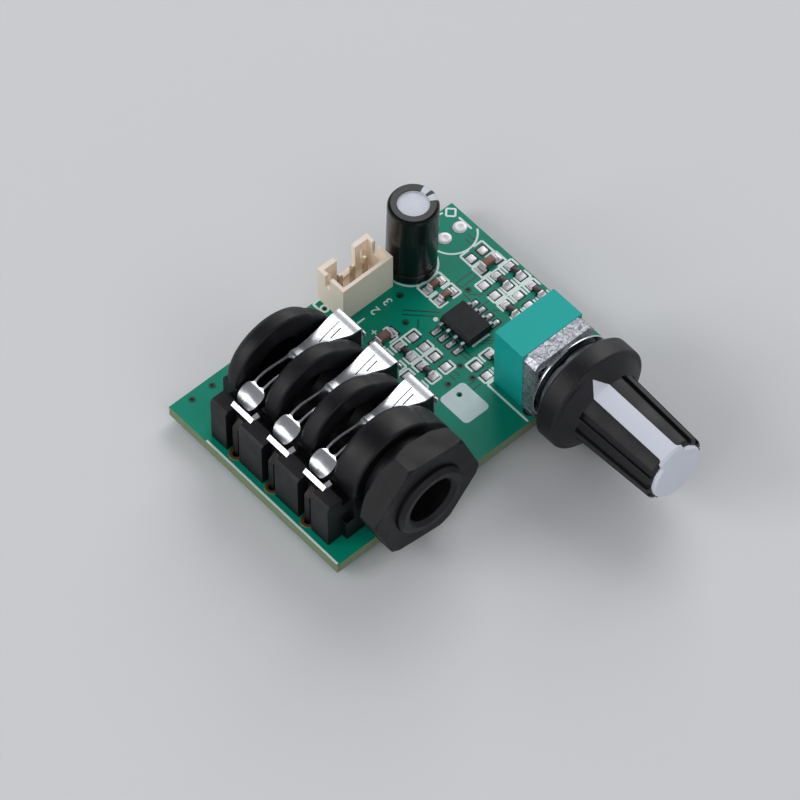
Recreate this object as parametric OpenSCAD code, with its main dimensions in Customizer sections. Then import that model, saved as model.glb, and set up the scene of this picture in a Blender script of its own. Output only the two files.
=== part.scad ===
/* [Board] */
// Board width along X
board_w = 45; // [44.5:0.5:60]
// Board depth along Y
board_d = 30; // [30:0.5:40]
// Board thickness
board_t = 1.6; // [1.2:0.1:2.4]
// Height of the solder joints under the board
joint_h = 1.1; // [0.8:0.1:2]
// Radius of a solder joint where it meets the board
joint_r = 0.95; // [0.9:0.05:1.1]
// Play of a lead in its plated hole, on the radius
hole_play = 0.08; // [0.05:0.01:0.15]
// Radius of a via hole
via_r = 0.25; // [0.15:0.05:0.35]

/* [Jack] */
// Jack axis from the left edge of the board
jack_x = 11; // [10:0.5:12]
// Jack axis above the board
jack_z = 7; // [6.8:0.1:8]
// Plug bore radius
bore_r = 3.2; // [3.2:0.05:3.3]
// Play between the plug bore and the openings in the arches
arch_play = 0.25; // [0.1:0.05:0.4]
// Radius of the arches
arch_r = 6.15; // [5.8:0.05:6.5]
// Thickness of an arch
arch_t = 2.5; // [2.2:0.1:2.8]
// Pitch of the contacts along the axis
contact_pitch = 6.35; // [6.2:0.05:6.6]
// Front face of the jack drum, behind the front edge of the board
drum_y = 2; // [1.5:0.25:3]
// Length of the jack drum
drum_len = 4.15; // [3.8:0.05:4.5]
// Radius of the jack drum
drum_r = 6.5; // [6.2:0.1:7]
// Gap between drum and first arch
contact_gap = 3.75; // [3.6:0.05:3.9]
// Radius of the threaded bush
bush_r = 4.9; // [4.4:0.1:5.2]
// Reach of the bush in front of the board
bush_reach = 4.35; // [4:0.05:6]
// Nut size across the flats
nut_af = 14.4; // [13:0.2:16]
// Nut thickness
nut_t = 3.4; // [2.5:0.1:3.8]
// Turn of the nut about the jack axis
nut_turn = 10; // [0:1:59]
// Width of the moulded base to the right of the axis
base_right = 9.4; // [9:0.1:10]
// Height of the moulded base
base_h = 3.2; // [2.5:0.1:3.4]
// Height of the terminal posts
post_h = 7.4; // [7.2:0.1:8]
// Thickness of the contact sheet
sheet_t = 0.3; // [0.2:0.05:0.4]
// Width of a contact blade at its root
blade_w = 3.9; // [3.6:0.1:4.4]
// Play between two contact pieces that nearly touch
contact_play = 0.06; // [0.04:0.01:0.1]

/* [Header] */
// Header length
header_w = 7.9; // [7.6:0.1:9]
// Header depth
header_d = 4.7; // [4.2:0.1:5]
// Header height
header_h = 6; // [5.5:0.1:7]
// Wall of the header
header_wall = 0.5; // [0.4:0.05:0.8]
// Reach of the header over the rear edge of the board
header_over = 0.15; // [0:0.05:0.5]
// Header start from the left edge of the board
header_x = 23.5; // [22:0.1:24]
// Pitch of the header pins
header_pitch = 2; // [1.9:0.05:2.1]
// Side of a header pin
pin_w = 0.5; // [0.4:0.05:0.6]

/* [Capacitor] */
// Capacitor radius over its sleeve
cap_r = 3.15; // [2.8:0.05:3.4]
// Capacitor height above the board
cap_h = 12.2; // [10:0.2:16]
// Lean of the capacitor to the right
cap_lean = 1.8; // [0:0.2:4]
// Lead pitch of the capacitor
cap_pitch = 2.5; // [2:0.1:3]
// Sleeve thickness
sleeve_t = 0.15; // [0.1:0.05:0.25]

/* [Potentiometer] */
// Shaft axis from the left edge of the board
pot_x = 35.7; // [35:0.1:36.2]
// Height of the potentiometer over its shaft axis
pot_rise = 4.9; // [3.8:0.05:5]
// Width of the potentiometer
pot_w = 9.4; // [9:0.1:10]
// Height of the potentiometer
pot_h = 10.1; // [10:0.1:11.5]
// Depth of the plastic housing
pot_d = 4.9; // [4.6:0.1:6]
// Thickness of the metal front plate
plate_t = 2.05; // [1.6:0.05:2.1]
// Radius of the potentiometer bush
pot_bush_r = 3.5; // [3.3:0.05:4]
// Shaft radius inside the bush
neck_r = 2.4; // [2:0.1:2.6]
// Rim of the rotor around the shaft
rotor_rim = 0.75; // [0.6:0.05:0.75]
// Play around the rotor in the housing
rotor_play = 0.3; // [0.2:0.05:0.3]
// Shaft radius inside the knob
shaft_r = 3; // [2.8:0.1:3.2]
// Play of the shaft's end in the knob, on the radius
knob_play = 0.02; // [0.01:0.01:0.1]
// Running play of the shaft in its bush, on the radius
shaft_play = 0.05; // [0.02:0.01:0.08]
// Radius of the washer
washer_r = 6; // [5.5:0.1:6.3]
// Thickness of the washer
washer_t = 0.45; // [0.3:0.05:0.6]
// Potentiometer nut size across the flats
pot_nut_af = 10; // [9:0.5:10.5]
// Thickness of the potentiometer nut
pot_nut_t = 1.75; // [1.4:0.05:1.8]

/* [Knob] */
// Knob length
knob_len = 16.7; // [16:0.1:20]
// Radius of the knob skirt
skirt_r = 7.3; // [7.2:0.05:8]
// Depth of the knob skirt
skirt_d = 3; // [2.2:0.1:3.4]
// Grip radius beside the skirt
grip_r = 4.85; // [4.7:0.05:5.6]
// Grip radius at the tip
grip_tip_r = 4.35; // [4.3:0.05:4.7]
// Width of the pointer line
pointer_w = 2.5; // [1.6:0.1:3]
// Height of the pointer line over the grip
pointer_rise = 0.15; // [0.1:0.05:0.4]
// Radius of the round end of the insert
insert_r = 3.7; // [3.5:0.05:4.2]
// Thickness of the round end of the insert
insert_t = 0.7; // [0.6:0.1:1.6]
// Turn of the pointer line to the left of upright
pointer_turn = 13; // [0:1:45]
// Half angle of the smooth land that carries the pointer line
land_half = 45; // [40:1:70]
// Number of grip grooves beyond the land
groove_count = 11; // [7:2:13]
// Width of a grip groove
groove_w = 1; // [0.6:0.1:1.2]
// Depth of a grip groove
groove_depth = 0.6; // [0.4:0.1:0.8]

/* [Chips] */
// Length of a small chip
chip_l = 1.6; // [1.4:0.1:2]
// Width of a small chip
chip_w = 0.8; // [0.6:0.1:1]
// Height of a chip resistor
chip_h = 0.45; // [0.35:0.05:0.6]
// Width of the integrated circuit body
ic_w = 3.9; // [3.8:0.1:4.2]
// Length of the integrated circuit body
ic_l = 4.9; // [4.8:0.1:5.1]
// Lead pitch of the integrated circuit
ic_pitch = 1.27; // [1.2:0.01:1.3]

/* [Hidden] */
$fn = 64;
eps = 0.01;
lead_z = -(board_t + joint_h);

// Jack places along Y, from the front edge of the board
drum_back = drum_y + drum_len;
arch_y = [for (k = [0:2]) drum_back + contact_gap + k * contact_pitch];
jack_back = arch_y[2] + arch_t;
blade_y = [for (y = arch_y) y - contact_gap / 2];
switch_shift = 1.1;
switch_y = [for (y = blade_y) y - switch_shift];
rear_r = arch_r + 0.45;
base_x1 = jack_x + base_right;
shelf_h = jack_z - 1.1;
arch_hole_r = bore_r + arch_play;

// Shoulder of the arches, a wider arc that runs down to the right
shoulder_dx = -0.4;
shoulder_r = base_right + 0.3;
shoulder_z = jack_z + arch_r - 0.55 - shoulder_r;

// Posts on the left of the jack
post_x0 = jack_x - 9.95;
post_x1 = jack_x - 7.75;
shelf_x = jack_x - 8.35;
post_gap = 2.3;
post_y0 = drum_y + 0.8;
post_y1 = jack_back - 1.6;

// Switch contacts
switch_w = 3.6;
switch_leg_w = 0.9;
switch_x = jack_x - 9.4;
switch_x1 = jack_x - drum_r - 0.05;
switch_top = shelf_h + sheet_t;

// Terminals that carry the blades
terminal_x = base_x1 + 0.15;
terminal_x1 = terminal_x + sheet_t;
terminal_top = jack_z + 1.2;
terminal_pin_w = 1.3;
ear_z = terminal_top - 1.2;
wall_x = jack_x + 6.6;
wall_top = terminal_top + 0.2;

// Blade heights over the board, from the root to the tip
blade_root_z = jack_z + 1.85;
blade_mid_z = jack_z + 2.5;
blade_fork_z = jack_z + 2.3;
fork_end_z = jack_z + 0.85;
pad_low_z = switch_top + contact_play + sheet_t;
pad_high_z = pad_low_z + 0.95;
bend_r = 0.45;
neck_half = 0.9;
slot_half = 0.42;
blade_gap_half = (min(contact_gap, contact_pitch - arch_t) - 0.35) / 2;

// Header
header_back = board_d + header_over;
header_y = header_back - header_d;
header_mid = header_x + header_w / 2;
header_pin_y = board_d - 1.7;
header_floor = 1.3;
pin_top = header_h - 1.1;
pin_x = [for (k = [-1:1]) header_mid + k * header_pitch];

// Capacitor and the empty place beside it
cap_x = 35.05;
cap_y = board_d - 3.7;
spare_y = board_d - 3.4;
cap_base = 0.25;
bung_h = 1.2;
cap_lead_r = 0.28;
spare_x = 42;

// Shaft axis above the board
pot_z = pot_h - pot_rise;

// Potentiometer places along Y
pot_back = plate_t + pot_d + 0.2;
plate_y = 0.2;
plate_back = plate_y + plate_t;
collar_r = pot_bush_r + 0.9;
collar_front = -0.6;
washer_front = collar_front - washer_t;
pot_nut_front = washer_front - pot_nut_t;
pot_bush_front = pot_nut_front - 2;
rotor_r = neck_r + rotor_rim;
cavity_r = rotor_r + rotor_play;
cavity_back = pot_back - 1.25;
rotor_front = plate_back + 0.3;
rotor_t = 1.7;
wiper_t = 0.15;
track_t = 0.7;
track_drop = rotor_r / 2;
track_front = cavity_back - track_t;
pot_pin_pitch = 2.5;
pot_pin_w = 0.9;
pot_pin_t = 0.35;
lug_w = 0.8;
lug_y0 = plate_y + 0.4;
lug_d = 1.25;

// Knob places along Y
knob_back = pot_nut_front + 0.1;
knob_tip = knob_back - knob_len;
grip_end = knob_tip + insert_t;
skirt_front = knob_back - skirt_d;
grip_root = 1.6;
grip_start = skirt_front - grip_root;
nut_hollow_r = pot_nut_af / sqrt(3) + 0.35;
nut_hollow = pot_nut_front - 0.3;
bush_hollow_r = pot_bush_r + 0.35;
bush_hollow = pot_bush_front - 0.4;
shaft_tip = bush_hollow - 10.5;
pointer_floor = shaft_r + 0.45;
pointer_base = insert_r - 0.7;

// Rows of chips, shared out between the potentiometer and the capacitor
function row_y(share) = pot_back + share * (spare_y - pot_back);

// Integrated circuit
ic_x = 33.8;
ic_y = row_y(0.411);
ic_h = 1.4;
ic_gap = 0.1;
ic_reach = 1.35;

// Chip places: x, y, turned along Y
high_row = row_y(0.522);
low_row = row_y(0.323);
resistors = [[43.8, high_row, true], [41.65, high_row, true], [43.8, low_row, true],
    [39.55, low_row, true], [33.3, row_y(0.11), true], [26.1, high_row, true],
    [26.15, low_row, true]];
big_chip = 1.25;
chip_caps = [[35.15, row_y(0.776), 1], [35.1, row_y(0.669), 1],
    [42.15, row_y(0.676), big_chip], [25.45, row_y(0.684), big_chip]];
cap_chip_h = 0.65;
chip_seat = 0.05;

// Empty chip places: x, y, half distance of the pads, pad size along X and Y
pad_h = 0.1;
spare_places = [[42, row_y(0.775), 0.95, 0, 1, 0.95],
    [30.9, row_y(0.105), 0, 0.95, 1, 0.95], [39.55, high_row, 0, 1, 1, 0.95],
    [41.6, low_row, 0, 1, 1, 0.95], [28.2, high_row, 0, 1, 1, 0.95],
    [28.2, low_row, 0, 1, 1, 0.95]];
vias = [[31.1, board_d - 6.1], [26.7, row_y(0.167)], [26.7, row_y(0.064)], [5.8, board_d - 1.1],
    [2.7, board_d - 1.05], [23.1, board_d - 1.55], [29.55, row_y(0.222)], [37.75, row_y(0.613)],
    [28.95, row_y(0.686)], [29.5, row_y(0.104)]];

// Moves from board coordinates to the part's own frame
module on_board() {
    translate([-board_w / 2, -(header_back + knob_tip) / 2, -lead_z]) children();
}

// A box given by its lowest and highest corners
module block(a, b) {
    translate(a) cube([b[0] - a[0], b[1] - a[1], b[2] - a[2]]);
}

// Points of an arc
function arc_points(cx, cy, r, a0, a1, n) =
    [for (i = [0:n]) let (a = a0 + (a1 - a0) * i / n) [cx + r * cos(a), cy + r * sin(a)]];

// Section of a disc of radius r and thickness t, with rounded rims
function disc_section(r, t, e0, e1) = concat([[0, 0]],
    arc_points(r - e0, e0, e0, -90, 0, 4), arc_points(r - e1, t - e1, e1, 0, 90, 4), [[0, t]]);

// Turns a section about an axis that runs back along Y from y0
module turned_y(x, y0, z, points) {
    translate([x, y0, z]) rotate([-90, 0, 0]) rotate_extrude($fn = 96) polygon(points);
}

module rod_y(x, y0, y1, z, r) {
    translate([x, y0, z]) rotate([-90, 0, 0]) cylinder(h = y1 - y0, r = r);
}

// Extrudes an outline drawn in X and Z from y0 to y1
module extruded_y(y0, y1) {
    translate([0, y1, 0]) rotate([90, 0, 0]) linear_extrude(y1 - y0) children();
}

// Every lead that goes through the board: x, y, half size along X and along Y
leads = concat(
    [for (y = switch_y) [switch_x, y, sheet_t / 2, switch_leg_w / 2]],
    [for (y = blade_y) [(terminal_x + terminal_x1) / 2, y, sheet_t / 2, terminal_pin_w / 2]],
    [for (x = pin_x) [x, header_pin_y, pin_w / 2, pin_w / 2]],
    [for (k = [-1:1]) [pot_x + k * pot_pin_pitch, track_front + track_t / 2,
        pot_pin_w / 2, pot_pin_t / 2]],
    [for (s = [-1, 1]) [pot_x + s * (pot_w - lug_w) / 2, lug_y0 + lug_d / 2,
        lug_w / 2, lug_d / 2]]);
cap_leads = [for (s = [-1, 1]) [cap_x + s * cap_pitch / 2, cap_y]];
spare_holes = [for (s = [-1, 1]) [spare_x + s * cap_pitch / 2, spare_y]];
spare_hole_r = 0.5;

module lead_holes() {
    for (p = leads)
        translate([p[0], p[1], -board_t - eps])
            cylinder(h = board_t + 2 * eps, r = norm([p[2], p[3]]) + hole_play, $fn = 32);
    for (p = cap_leads)
        translate([p[0], p[1], -board_t - eps])
            cylinder(h = board_t + 2 * eps, r = cap_lead_r + hole_play, $fn = 32);
    for (p = spare_holes)
        translate([p[0], p[1], -board_t - eps])
            cylinder(h = board_t + 2 * eps, r = spare_hole_r, $fn = 32);
    for (p = vias)
        translate([p[0], p[1], -board_t - eps])
            cylinder(h = board_t + 2 * eps, r = via_r, $fn = 24);
}

module circuit_board() {
    color("seagreen") on_board() difference() {
        block([0, 0, -board_t], [board_w, board_d, 0]);
        lead_holes();
    }
}

module spare_pads() {
    color("silver") on_board() for (p = spare_places, s = [-1, 1])
        translate([p[0] + s * p[2] - p[4] / 2, p[1] + s * p[3] - p[5] / 2, 0])
            cube([p[4], p[5], pad_h]);
}

// A filled hole: a plug with a low dome on each side
module spare_solder() {
    color("silver") on_board() for (p = spare_holes) translate([p[0], p[1], 0]) {
        translate([0, 0, -board_t]) cylinder(h = board_t, r = spare_hole_r, $fn = 32);
        cylinder(h = 0.2, r1 = 0.8, r2 = 0.4, $fn = 32);
        translate([0, 0, -board_t - 0.3]) cylinder(h = 0.3, r1 = 0.4, r2 = 0.8, $fn = 32);
    }
}

module joint_cone(r) {
    translate([0, 0, lead_z]) cylinder(h = joint_h, r1 = r * 0.55, r2 = r, $fn = 32);
}

module solder_joints() {
    color("silver") on_board() {
        for (p = leads) translate([p[0], p[1], 0]) difference() {
            joint_cone(max(joint_r, norm([p[2], p[3]]) + 0.4));
            block([-p[2], -p[3], lead_z - eps], [p[2], p[3], 0]);
        }
        for (p = cap_leads) translate([p[0], p[1], 0]) difference() {
            joint_cone(joint_r);
            translate([0, 0, lead_z - eps]) cylinder(h = joint_h, r = cap_lead_r, $fn = 32);
        }
    }
}

// One arch of the jack: a round hoop with a shoulder that runs down to the right
module arch(y, r, t, front_round, back_round) {
    turned_y(jack_x, y, jack_z, disc_section(r, t, front_round, back_round));
    intersection() {
        turned_y(jack_x + shoulder_dx, y, shoulder_z,
            disc_section(shoulder_r, t, front_round, back_round));
        block([jack_x, y - 1, 0], [base_x1, y + t + 1, jack_z + r]);
    }
    block([jack_x - r, y, 0], [base_x1, y + t, shoulder_z]);
    block([jack_x - r, y, 0], [jack_x, y + t, jack_z]);
}

// Outline of a post in X and Z, with its outer top edge cut
module post_outline() {
    cut = 0.4;
    polygon([[post_x0, 0], [post_x1, 0], [post_x1, post_h], [post_x0 + cut, post_h],
        [post_x0, post_h - cut]]);
}

module jack_housing() {
    post_starts = concat([post_y0], [for (y = switch_y) y + post_gap / 2]);
    post_ends = concat([for (y = switch_y) y - post_gap / 2], [post_y1]);
    color([0.12, 0.12, 0.13]) on_board() difference() {
        union() {
            arch(drum_y, drum_r, drum_len, 0.5, 0.9);
            arch(arch_y[0], arch_r, arch_t, 0.35, 0.9);
            arch(arch_y[1], arch_r, arch_t, 0.35, 0.9);
            arch(arch_y[2], rear_r, arch_t, 0.35, 1.2);
            block([post_x1 - eps, drum_y, 0], [base_x1, jack_back, base_h]);
            block([shelf_x, post_y0, 0], [jack_x - arch_r + 0.1, post_y1, shelf_h]);
            for (k = [0:2]) block([wall_x, k == 0 ? drum_back : arch_y[k - 1] + arch_t, 0],
                [base_x1, arch_y[k], wall_top]);
            for (k = [0:3]) extruded_y(post_starts[k], post_ends[k]) post_outline();
            turned_y(jack_x, -bush_reach, jack_z, [[0, 0], [bush_r - 0.5, 0], [bush_r, 0.5],
                [bush_r, bush_reach + drum_y + 0.5], [0, bush_reach + drum_y + 0.5]]);
        }
        rod_y(jack_x, -bush_reach - eps, drum_back + eps, jack_z, bore_r);
        rod_y(jack_x, drum_back, jack_back + 1, jack_z, arch_hole_r);
        turned_y(jack_x, -bush_reach, jack_z,
            [[0, -eps], [bore_r + 0.55, -eps], [bore_r, 0.5], [0, 0.5]]);
    }
}

// Hexagon nut with both ends turned to a cone
module cut_nut(x, y0, y1, z, af, bore, turn) {
    rim = af / sqrt(3);
    cut = 0.9;
    translate([x, y0, z]) rotate([-90, 0, 0]) difference() {
        intersection() {
            rotate([0, 0, turn]) cylinder(h = y1 - y0, r = rim, $fn = 6);
            rotate_extrude($fn = 96) polygon([[0, 0], [rim - cut * 0.5, 0], [rim + 0.1, cut * 0.4],
                [rim + 0.1, y1 - y0 - cut], [rim - cut, y1 - y0], [0, y1 - y0]]);
        }
        translate([0, 0, -eps]) cylinder(h = y1 - y0 + 2 * eps, r = bore, $fn = 96);
    }
}

module jack_nut() {
    color([0.16, 0.16, 0.18]) on_board()
        cut_nut(jack_x, -0.05 - nut_t, -0.05, jack_z, nut_af, bush_r + 0.05, nut_turn);
}

// Side line of a blade in X and Z, from its foot over the bend to the contact pad
blade_line = concat([[terminal_x1, terminal_top + contact_play]],
    arc_points(terminal_x1 - bend_r, blade_root_z - bend_r, bend_r, 0, 80, 4),
    [[jack_x + 5, blade_root_z + 0.35], [jack_x + 2.5, blade_mid_z],
        [jack_x + 0.7, blade_mid_z - 0.02], [jack_x - 2.7, blade_fork_z],
        [jack_x - 3.9, blade_fork_z - 0.5], [jack_x - 4.9, fork_end_z],
        [jack_x - 5.3, pad_high_z], [jack_x - 5.8, pad_high_z - 0.16],
        [jack_x - 6.5, pad_high_z - 0.48], [jack_x - 7.15, pad_low_z]]);

// Unit normal of a line at point i, on its right
function line_normal(p, i) =
    let (a = p[max(i - 1, 0)], b = p[min(i + 1, len(p) - 1)], d = b - a)
    [d[1], -d[0]] / norm(d);

// Closed outline of a strip of thickness t on the left of a line
function strip(p, t) = concat(p,
    [for (i = [len(p) - 1:-1:0]) p[i] - t * line_normal(p, i)]);

module blade_side() {
    polygon(strip(blade_line, sheet_t));
}

// Plan of a blade: a wide root with two slits, a neck, a fork and a round-cornered pad
module blade_plan() {
    w = blade_w / 2;
    g = min(blade_gap_half, w);
    half = [[terminal_x1 + 1, w], [base_x1 - 1.2, w], [base_x1 - 2, g],
        [jack_x + 6.4, g * 0.82], [jack_x + 5.2, neck_half + 0.12],
        [jack_x + 4.2, neck_half + 0.05], [jack_x + 1.2, neck_half],
        [jack_x - 4.6, neck_half], [jack_x - 4.95, neck_half - 0.1],
        [jack_x - 5.05, neck_half + 0.3], [jack_x - 5.9, neck_half + 0.45],
        [jack_x - 6.7, neck_half + 0.4], [jack_x - 7.1, neck_half + 0.1],
        [jack_x - 7.3, neck_half - 0.25]];
    difference() {
        polygon(concat(half, [for (i = [len(half) - 1:-1:0]) [half[i][0], -half[i][1]]]));
        polygon([[jack_x + 0.6, -0.25], [jack_x + 0.2, -slot_half],
            [jack_x - 4.4, -slot_half], [jack_x - 4.4, slot_half],
            [jack_x + 0.2, slot_half], [jack_x + 0.6, 0.25]]);
        polygon([[jack_x + 4.2, -0.5], [jack_x + 8.2, 0.49], [jack_x + 8.2, 0.61],
            [jack_x + 4.2, -0.38]]);
        polygon([[jack_x + 5.9, -0.82], [jack_x + 7.7, -0.42], [jack_x + 7.7, -0.28],
            [jack_x + 5.9, -0.7]]);
    }
}

module blade(y) {
    color([0.85, 0.86, 0.88]) on_board() intersection() {
        extruded_y(y - blade_w, y + blade_w) blade_side();
        translate([0, y, 0]) linear_extrude(jack_z + 10) blade_plan();
    }
}

// Anchored leg of a contact: a plate on the wall with an ear on each side, and a pin
// through the board
module terminal(y) {
    w = blade_w / 2;
    p = terminal_pin_w / 2;
    ear = 0.4;
    color([0.8, 0.8, 0.78]) on_board() translate([terminal_x1, y, 0]) rotate([0, -90, 0])
        linear_extrude(sheet_t) polygon([[lead_z, -p], [1.4, -p], [2.4, -w], [ear_z, -w],
            [ear_z, -w - ear], [ear_z + 0.7, -w - ear], [ear_z + 0.7, -w], [terminal_top, -w],
            [terminal_top, w], [ear_z + 0.7, w], [ear_z + 0.7, w + ear], [ear_z, w + ear],
            [ear_z, w], [2.4, w], [1.4, p], [lead_z, p]]);
}

// Fixed contact under the blade's pad, with its leg between two posts
module switch_contact(y) {
    half = sheet_t / 2;
    back = y + switch_shift + 1;
    leg = [[switch_x - half, lead_z], [switch_x + half, lead_z],
        [switch_x + half, shelf_h - 0.9], [shelf_x - 0.05, shelf_h - 0.2],
        [shelf_x - 0.05, shelf_h], [switch_x1, shelf_h], [switch_x1, switch_top],
        [shelf_x - 0.2, switch_top], [switch_x - half, shelf_h - 0.7]];
    color([0.83, 0.8, 0.72]) on_board() intersection() {
        extruded_y(back - switch_w, back) polygon(leg);
        union() {
            block([post_x1 + 0.06, back - switch_w, 0], [switch_x1, back, post_h + 1]);
            block([post_x0, y - switch_leg_w / 2, lead_z - 1],
                [post_x1 + 0.1, y + switch_leg_w / 2, post_h + 1]);
        }
    }
}

module header_housing() {
    w = header_wall;
    rear_w = w + 0.2;
    x1 = header_x + header_w;
    tab = 2.5;
    sill = 1.7;
    slit_y = header_back - 2.35;
    slit = 0.85;
    slit_low = 4;
    color([0.92, 0.88, 0.78]) on_board() difference() {
        block([header_x, header_y, 0], [x1, header_back, header_h]);
        block([header_x + w, header_y + w, header_floor],
            [x1 - w, header_back - rear_w, header_h + 1]);
        block([header_x + tab, header_back - rear_w - eps, sill],
            [x1 - tab, header_back + 1, header_h + 1]);
        for (x = [header_x + 1.15, x1 - 1.7])
            block([x, header_back - rear_w - eps, 2.1], [x + 0.55, header_back + 1, 4.6]);
        block([header_x - 1, slit_y, slit_low], [x1 + 1, slit_y + slit, header_h + 1]);
        for (x = pin_x) block([x - pin_w / 2, header_pin_y - pin_w / 2, -1],
            [x + pin_w / 2, header_pin_y + pin_w / 2, header_h]);
    }
}

module header_pins() {
    point = 0.15;
    color("gainsboro") on_board() for (x = pin_x) translate([x, header_pin_y, 0]) {
        block([-pin_w / 2, -pin_w / 2, lead_z], [pin_w / 2, pin_w / 2, pin_top - point]);
        translate([0, 0, pin_top - point]) rotate([0, 0, 45])
            cylinder(h = point, r1 = pin_w / sqrt(2), r2 = pin_w / sqrt(2) - point, $fn = 4);
    }
}

// Stands the capacitor on the board with its lean
module leaning() {
    on_board() translate([cap_x, cap_y, cap_base]) rotate([0, cap_lean, 0]) children();
}

module capacitor_can() {
    r = cap_r - sleeve_t;
    h = cap_h - cap_base - sleeve_t;
    inner = r - 0.35;
    color("lightgray") leaning() rotate_extrude($fn = 96) polygon([[inner, 0], [r - 0.15, 0],
        [r, 0.15], [r, 1.1], [r - 0.3, 1.3], [r - 0.3, 1.7], [r, 1.9], [r, h - 0.35],
        [r - 0.1, h - 0.1], [r - 0.35, h], [1.95, h], [1.9, h - 0.08], [0, h - 0.08],
        [0, bung_h], [inner, bung_h]]);
}

module capacitor_sleeve() {
    r = cap_r;
    h = cap_h - cap_base;
    s = sleeve_t;
    color([0.09, 0.09, 0.1]) leaning() rotate_extrude($fn = 96) polygon([[r - s, 0.2],
        [r, 0.2], [r, 1.2], [r - 0.22, 1.35], [r - 0.22, 1.65], [r, 1.8], [r, h - 0.45],
        [r - 0.12, h - 0.15], [r - 0.4, h], [1.98, h], [1.98, h - s],
        [r - s - 0.35, h - s], [r - s - 0.1, h - s - 0.1], [r - s, h - s - 0.35],
        [r - s, 1.9], [r - s - 0.3, 1.7], [r - s - 0.3, 1.3], [r - s, 1.1]]);
}

module capacitor_bung() {
    color([0.15, 0.15, 0.15]) leaning() cylinder(h = bung_h, r = cap_r - sleeve_t - 0.35);
}

module capacitor_leads() {
    color("gainsboro") on_board() for (p = cap_leads) translate([p[0], p[1], lead_z])
        cylinder(h = cap_base - lead_z - 0.12, r = cap_lead_r, $fn = 32);
}

module pot_outline(inset) {
    w = pot_w / 2 - inset;
    cut = 0.7;
    polygon([[pot_x - w, 0], [pot_x + w, 0], [pot_x + w, pot_h - inset - cut],
        [pot_x + w - cut, pot_h - inset], [pot_x - w + cut, pot_h - inset],
        [pot_x - w, pot_h - inset - cut]]);
}

module pot_pin(k, low, high, grow) {
    block([pot_x + k * pot_pin_pitch - pot_pin_w / 2 - grow,
            track_front + track_t / 2 - pot_pin_t / 2 - grow, low],
        [pot_x + k * pot_pin_pitch + pot_pin_w / 2 + grow,
            track_front + track_t / 2 + pot_pin_t / 2 + grow, high]);
}

module pot_housing() {
    color([0.05, 0.62, 0.52]) on_board() difference() {
        block([pot_x - pot_w / 2, plate_back, 0], [pot_x + pot_w / 2, pot_back, pot_h]);
        rod_y(pot_x, plate_back - eps, cavity_back, pot_z, cavity_r);
        for (k = [-1:1]) pot_pin(k, -1, pot_z, 0);
    }
}

// Cast front plate with collar, threaded bush, two legs and a stamped recess
module pot_front_plate() {
    recess_x = pot_x - 2.95;
    recess_r = 1.15;
    recess_low = 6.15;
    color("darkgray") on_board() difference() {
        union() {
            extruded_y(plate_y, plate_back) pot_outline(0.05);
            rod_y(pot_x, collar_front, plate_y + eps, pot_z, collar_r);
            turned_y(pot_x, pot_bush_front, pot_z, [[0, 0], [pot_bush_r - 0.35, 0],
                [pot_bush_r, 0.35], [pot_bush_r, plate_y - pot_bush_front],
                [0, plate_y - pot_bush_front]]);
            for (s = [-1, 1]) translate([pot_x + s * (pot_w - lug_w) / 2, lug_y0, 0])
                block([-lug_w / 2, 0, lead_z], [lug_w / 2, lug_d, 0.5]);
        }
        rod_y(pot_x, pot_bush_front - 1, plate_back + 1, pot_z, neck_r + shaft_play);
        rod_y(recess_x, plate_y - eps, plate_y + 1, recess_low, recess_r);
        block([recess_x - recess_r, plate_y - eps, recess_low],
            [recess_x + recess_r, plate_y + 1, pot_h - 1.4]);
    }
}

// Resistive track: a plate with its terminals' ends let into its lower edge
module pot_track() {
    color([0.35, 0.25, 0.15]) on_board() difference() {
        rod_y(pot_x, track_front, cavity_back, pot_z, cavity_r);
        for (k = [-1:1]) pot_pin(k, -1, pot_z - track_drop, 0);
    }
}

module pot_terminals() {
    color("gainsboro") on_board() for (k = [-1:1]) pot_pin(k, lead_z, pot_z - track_drop, 0);
}

module pot_washer() {
    color("silver") on_board() difference() {
        rod_y(pot_x, washer_front, collar_front, pot_z, washer_r);
        rod_y(pot_x, washer_front - 1, collar_front + 1, pot_z, pot_bush_r + 0.1);
    }
}

module pot_nut() {
    color("gray") on_board() cut_nut(pot_x, pot_nut_front, washer_front, pot_z, pot_nut_af,
        pot_bush_r + 0.05, 10);
}

// Shaft: a neck that runs in the bush, and a thicker split end held in the knob
module pot_shaft() {
    shoulder_y = pot_bush_front - 0.15;
    split_w = 1;
    split_d = 6.5;
    color("gainsboro") on_board() difference() {
        union() {
            rod_y(pot_x, shoulder_y - eps, rotor_front + rotor_t, pot_z, neck_r);
            turned_y(pot_x, shaft_tip, pot_z, [[0, 0], [shaft_r - 0.4, 0], [shaft_r, 0.4],
                [shaft_r, shoulder_y - shaft_tip], [0, shoulder_y - shaft_tip]]);
        }
        block([pot_x - shaft_r - 1, shaft_tip - 1, pot_z - split_w / 2],
            [pot_x + shaft_r + 1, shaft_tip + split_d, pot_z + split_w / 2]);
    }
}

module pot_rotor() {
    color([0.2, 0.2, 0.22]) on_board() difference() {
        rod_y(pot_x, rotor_front, rotor_front + rotor_t, pot_z, rotor_r);
        rod_y(pot_x, rotor_front - 1, rotor_front + rotor_t + 1, pot_z, neck_r);
    }
}

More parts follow.
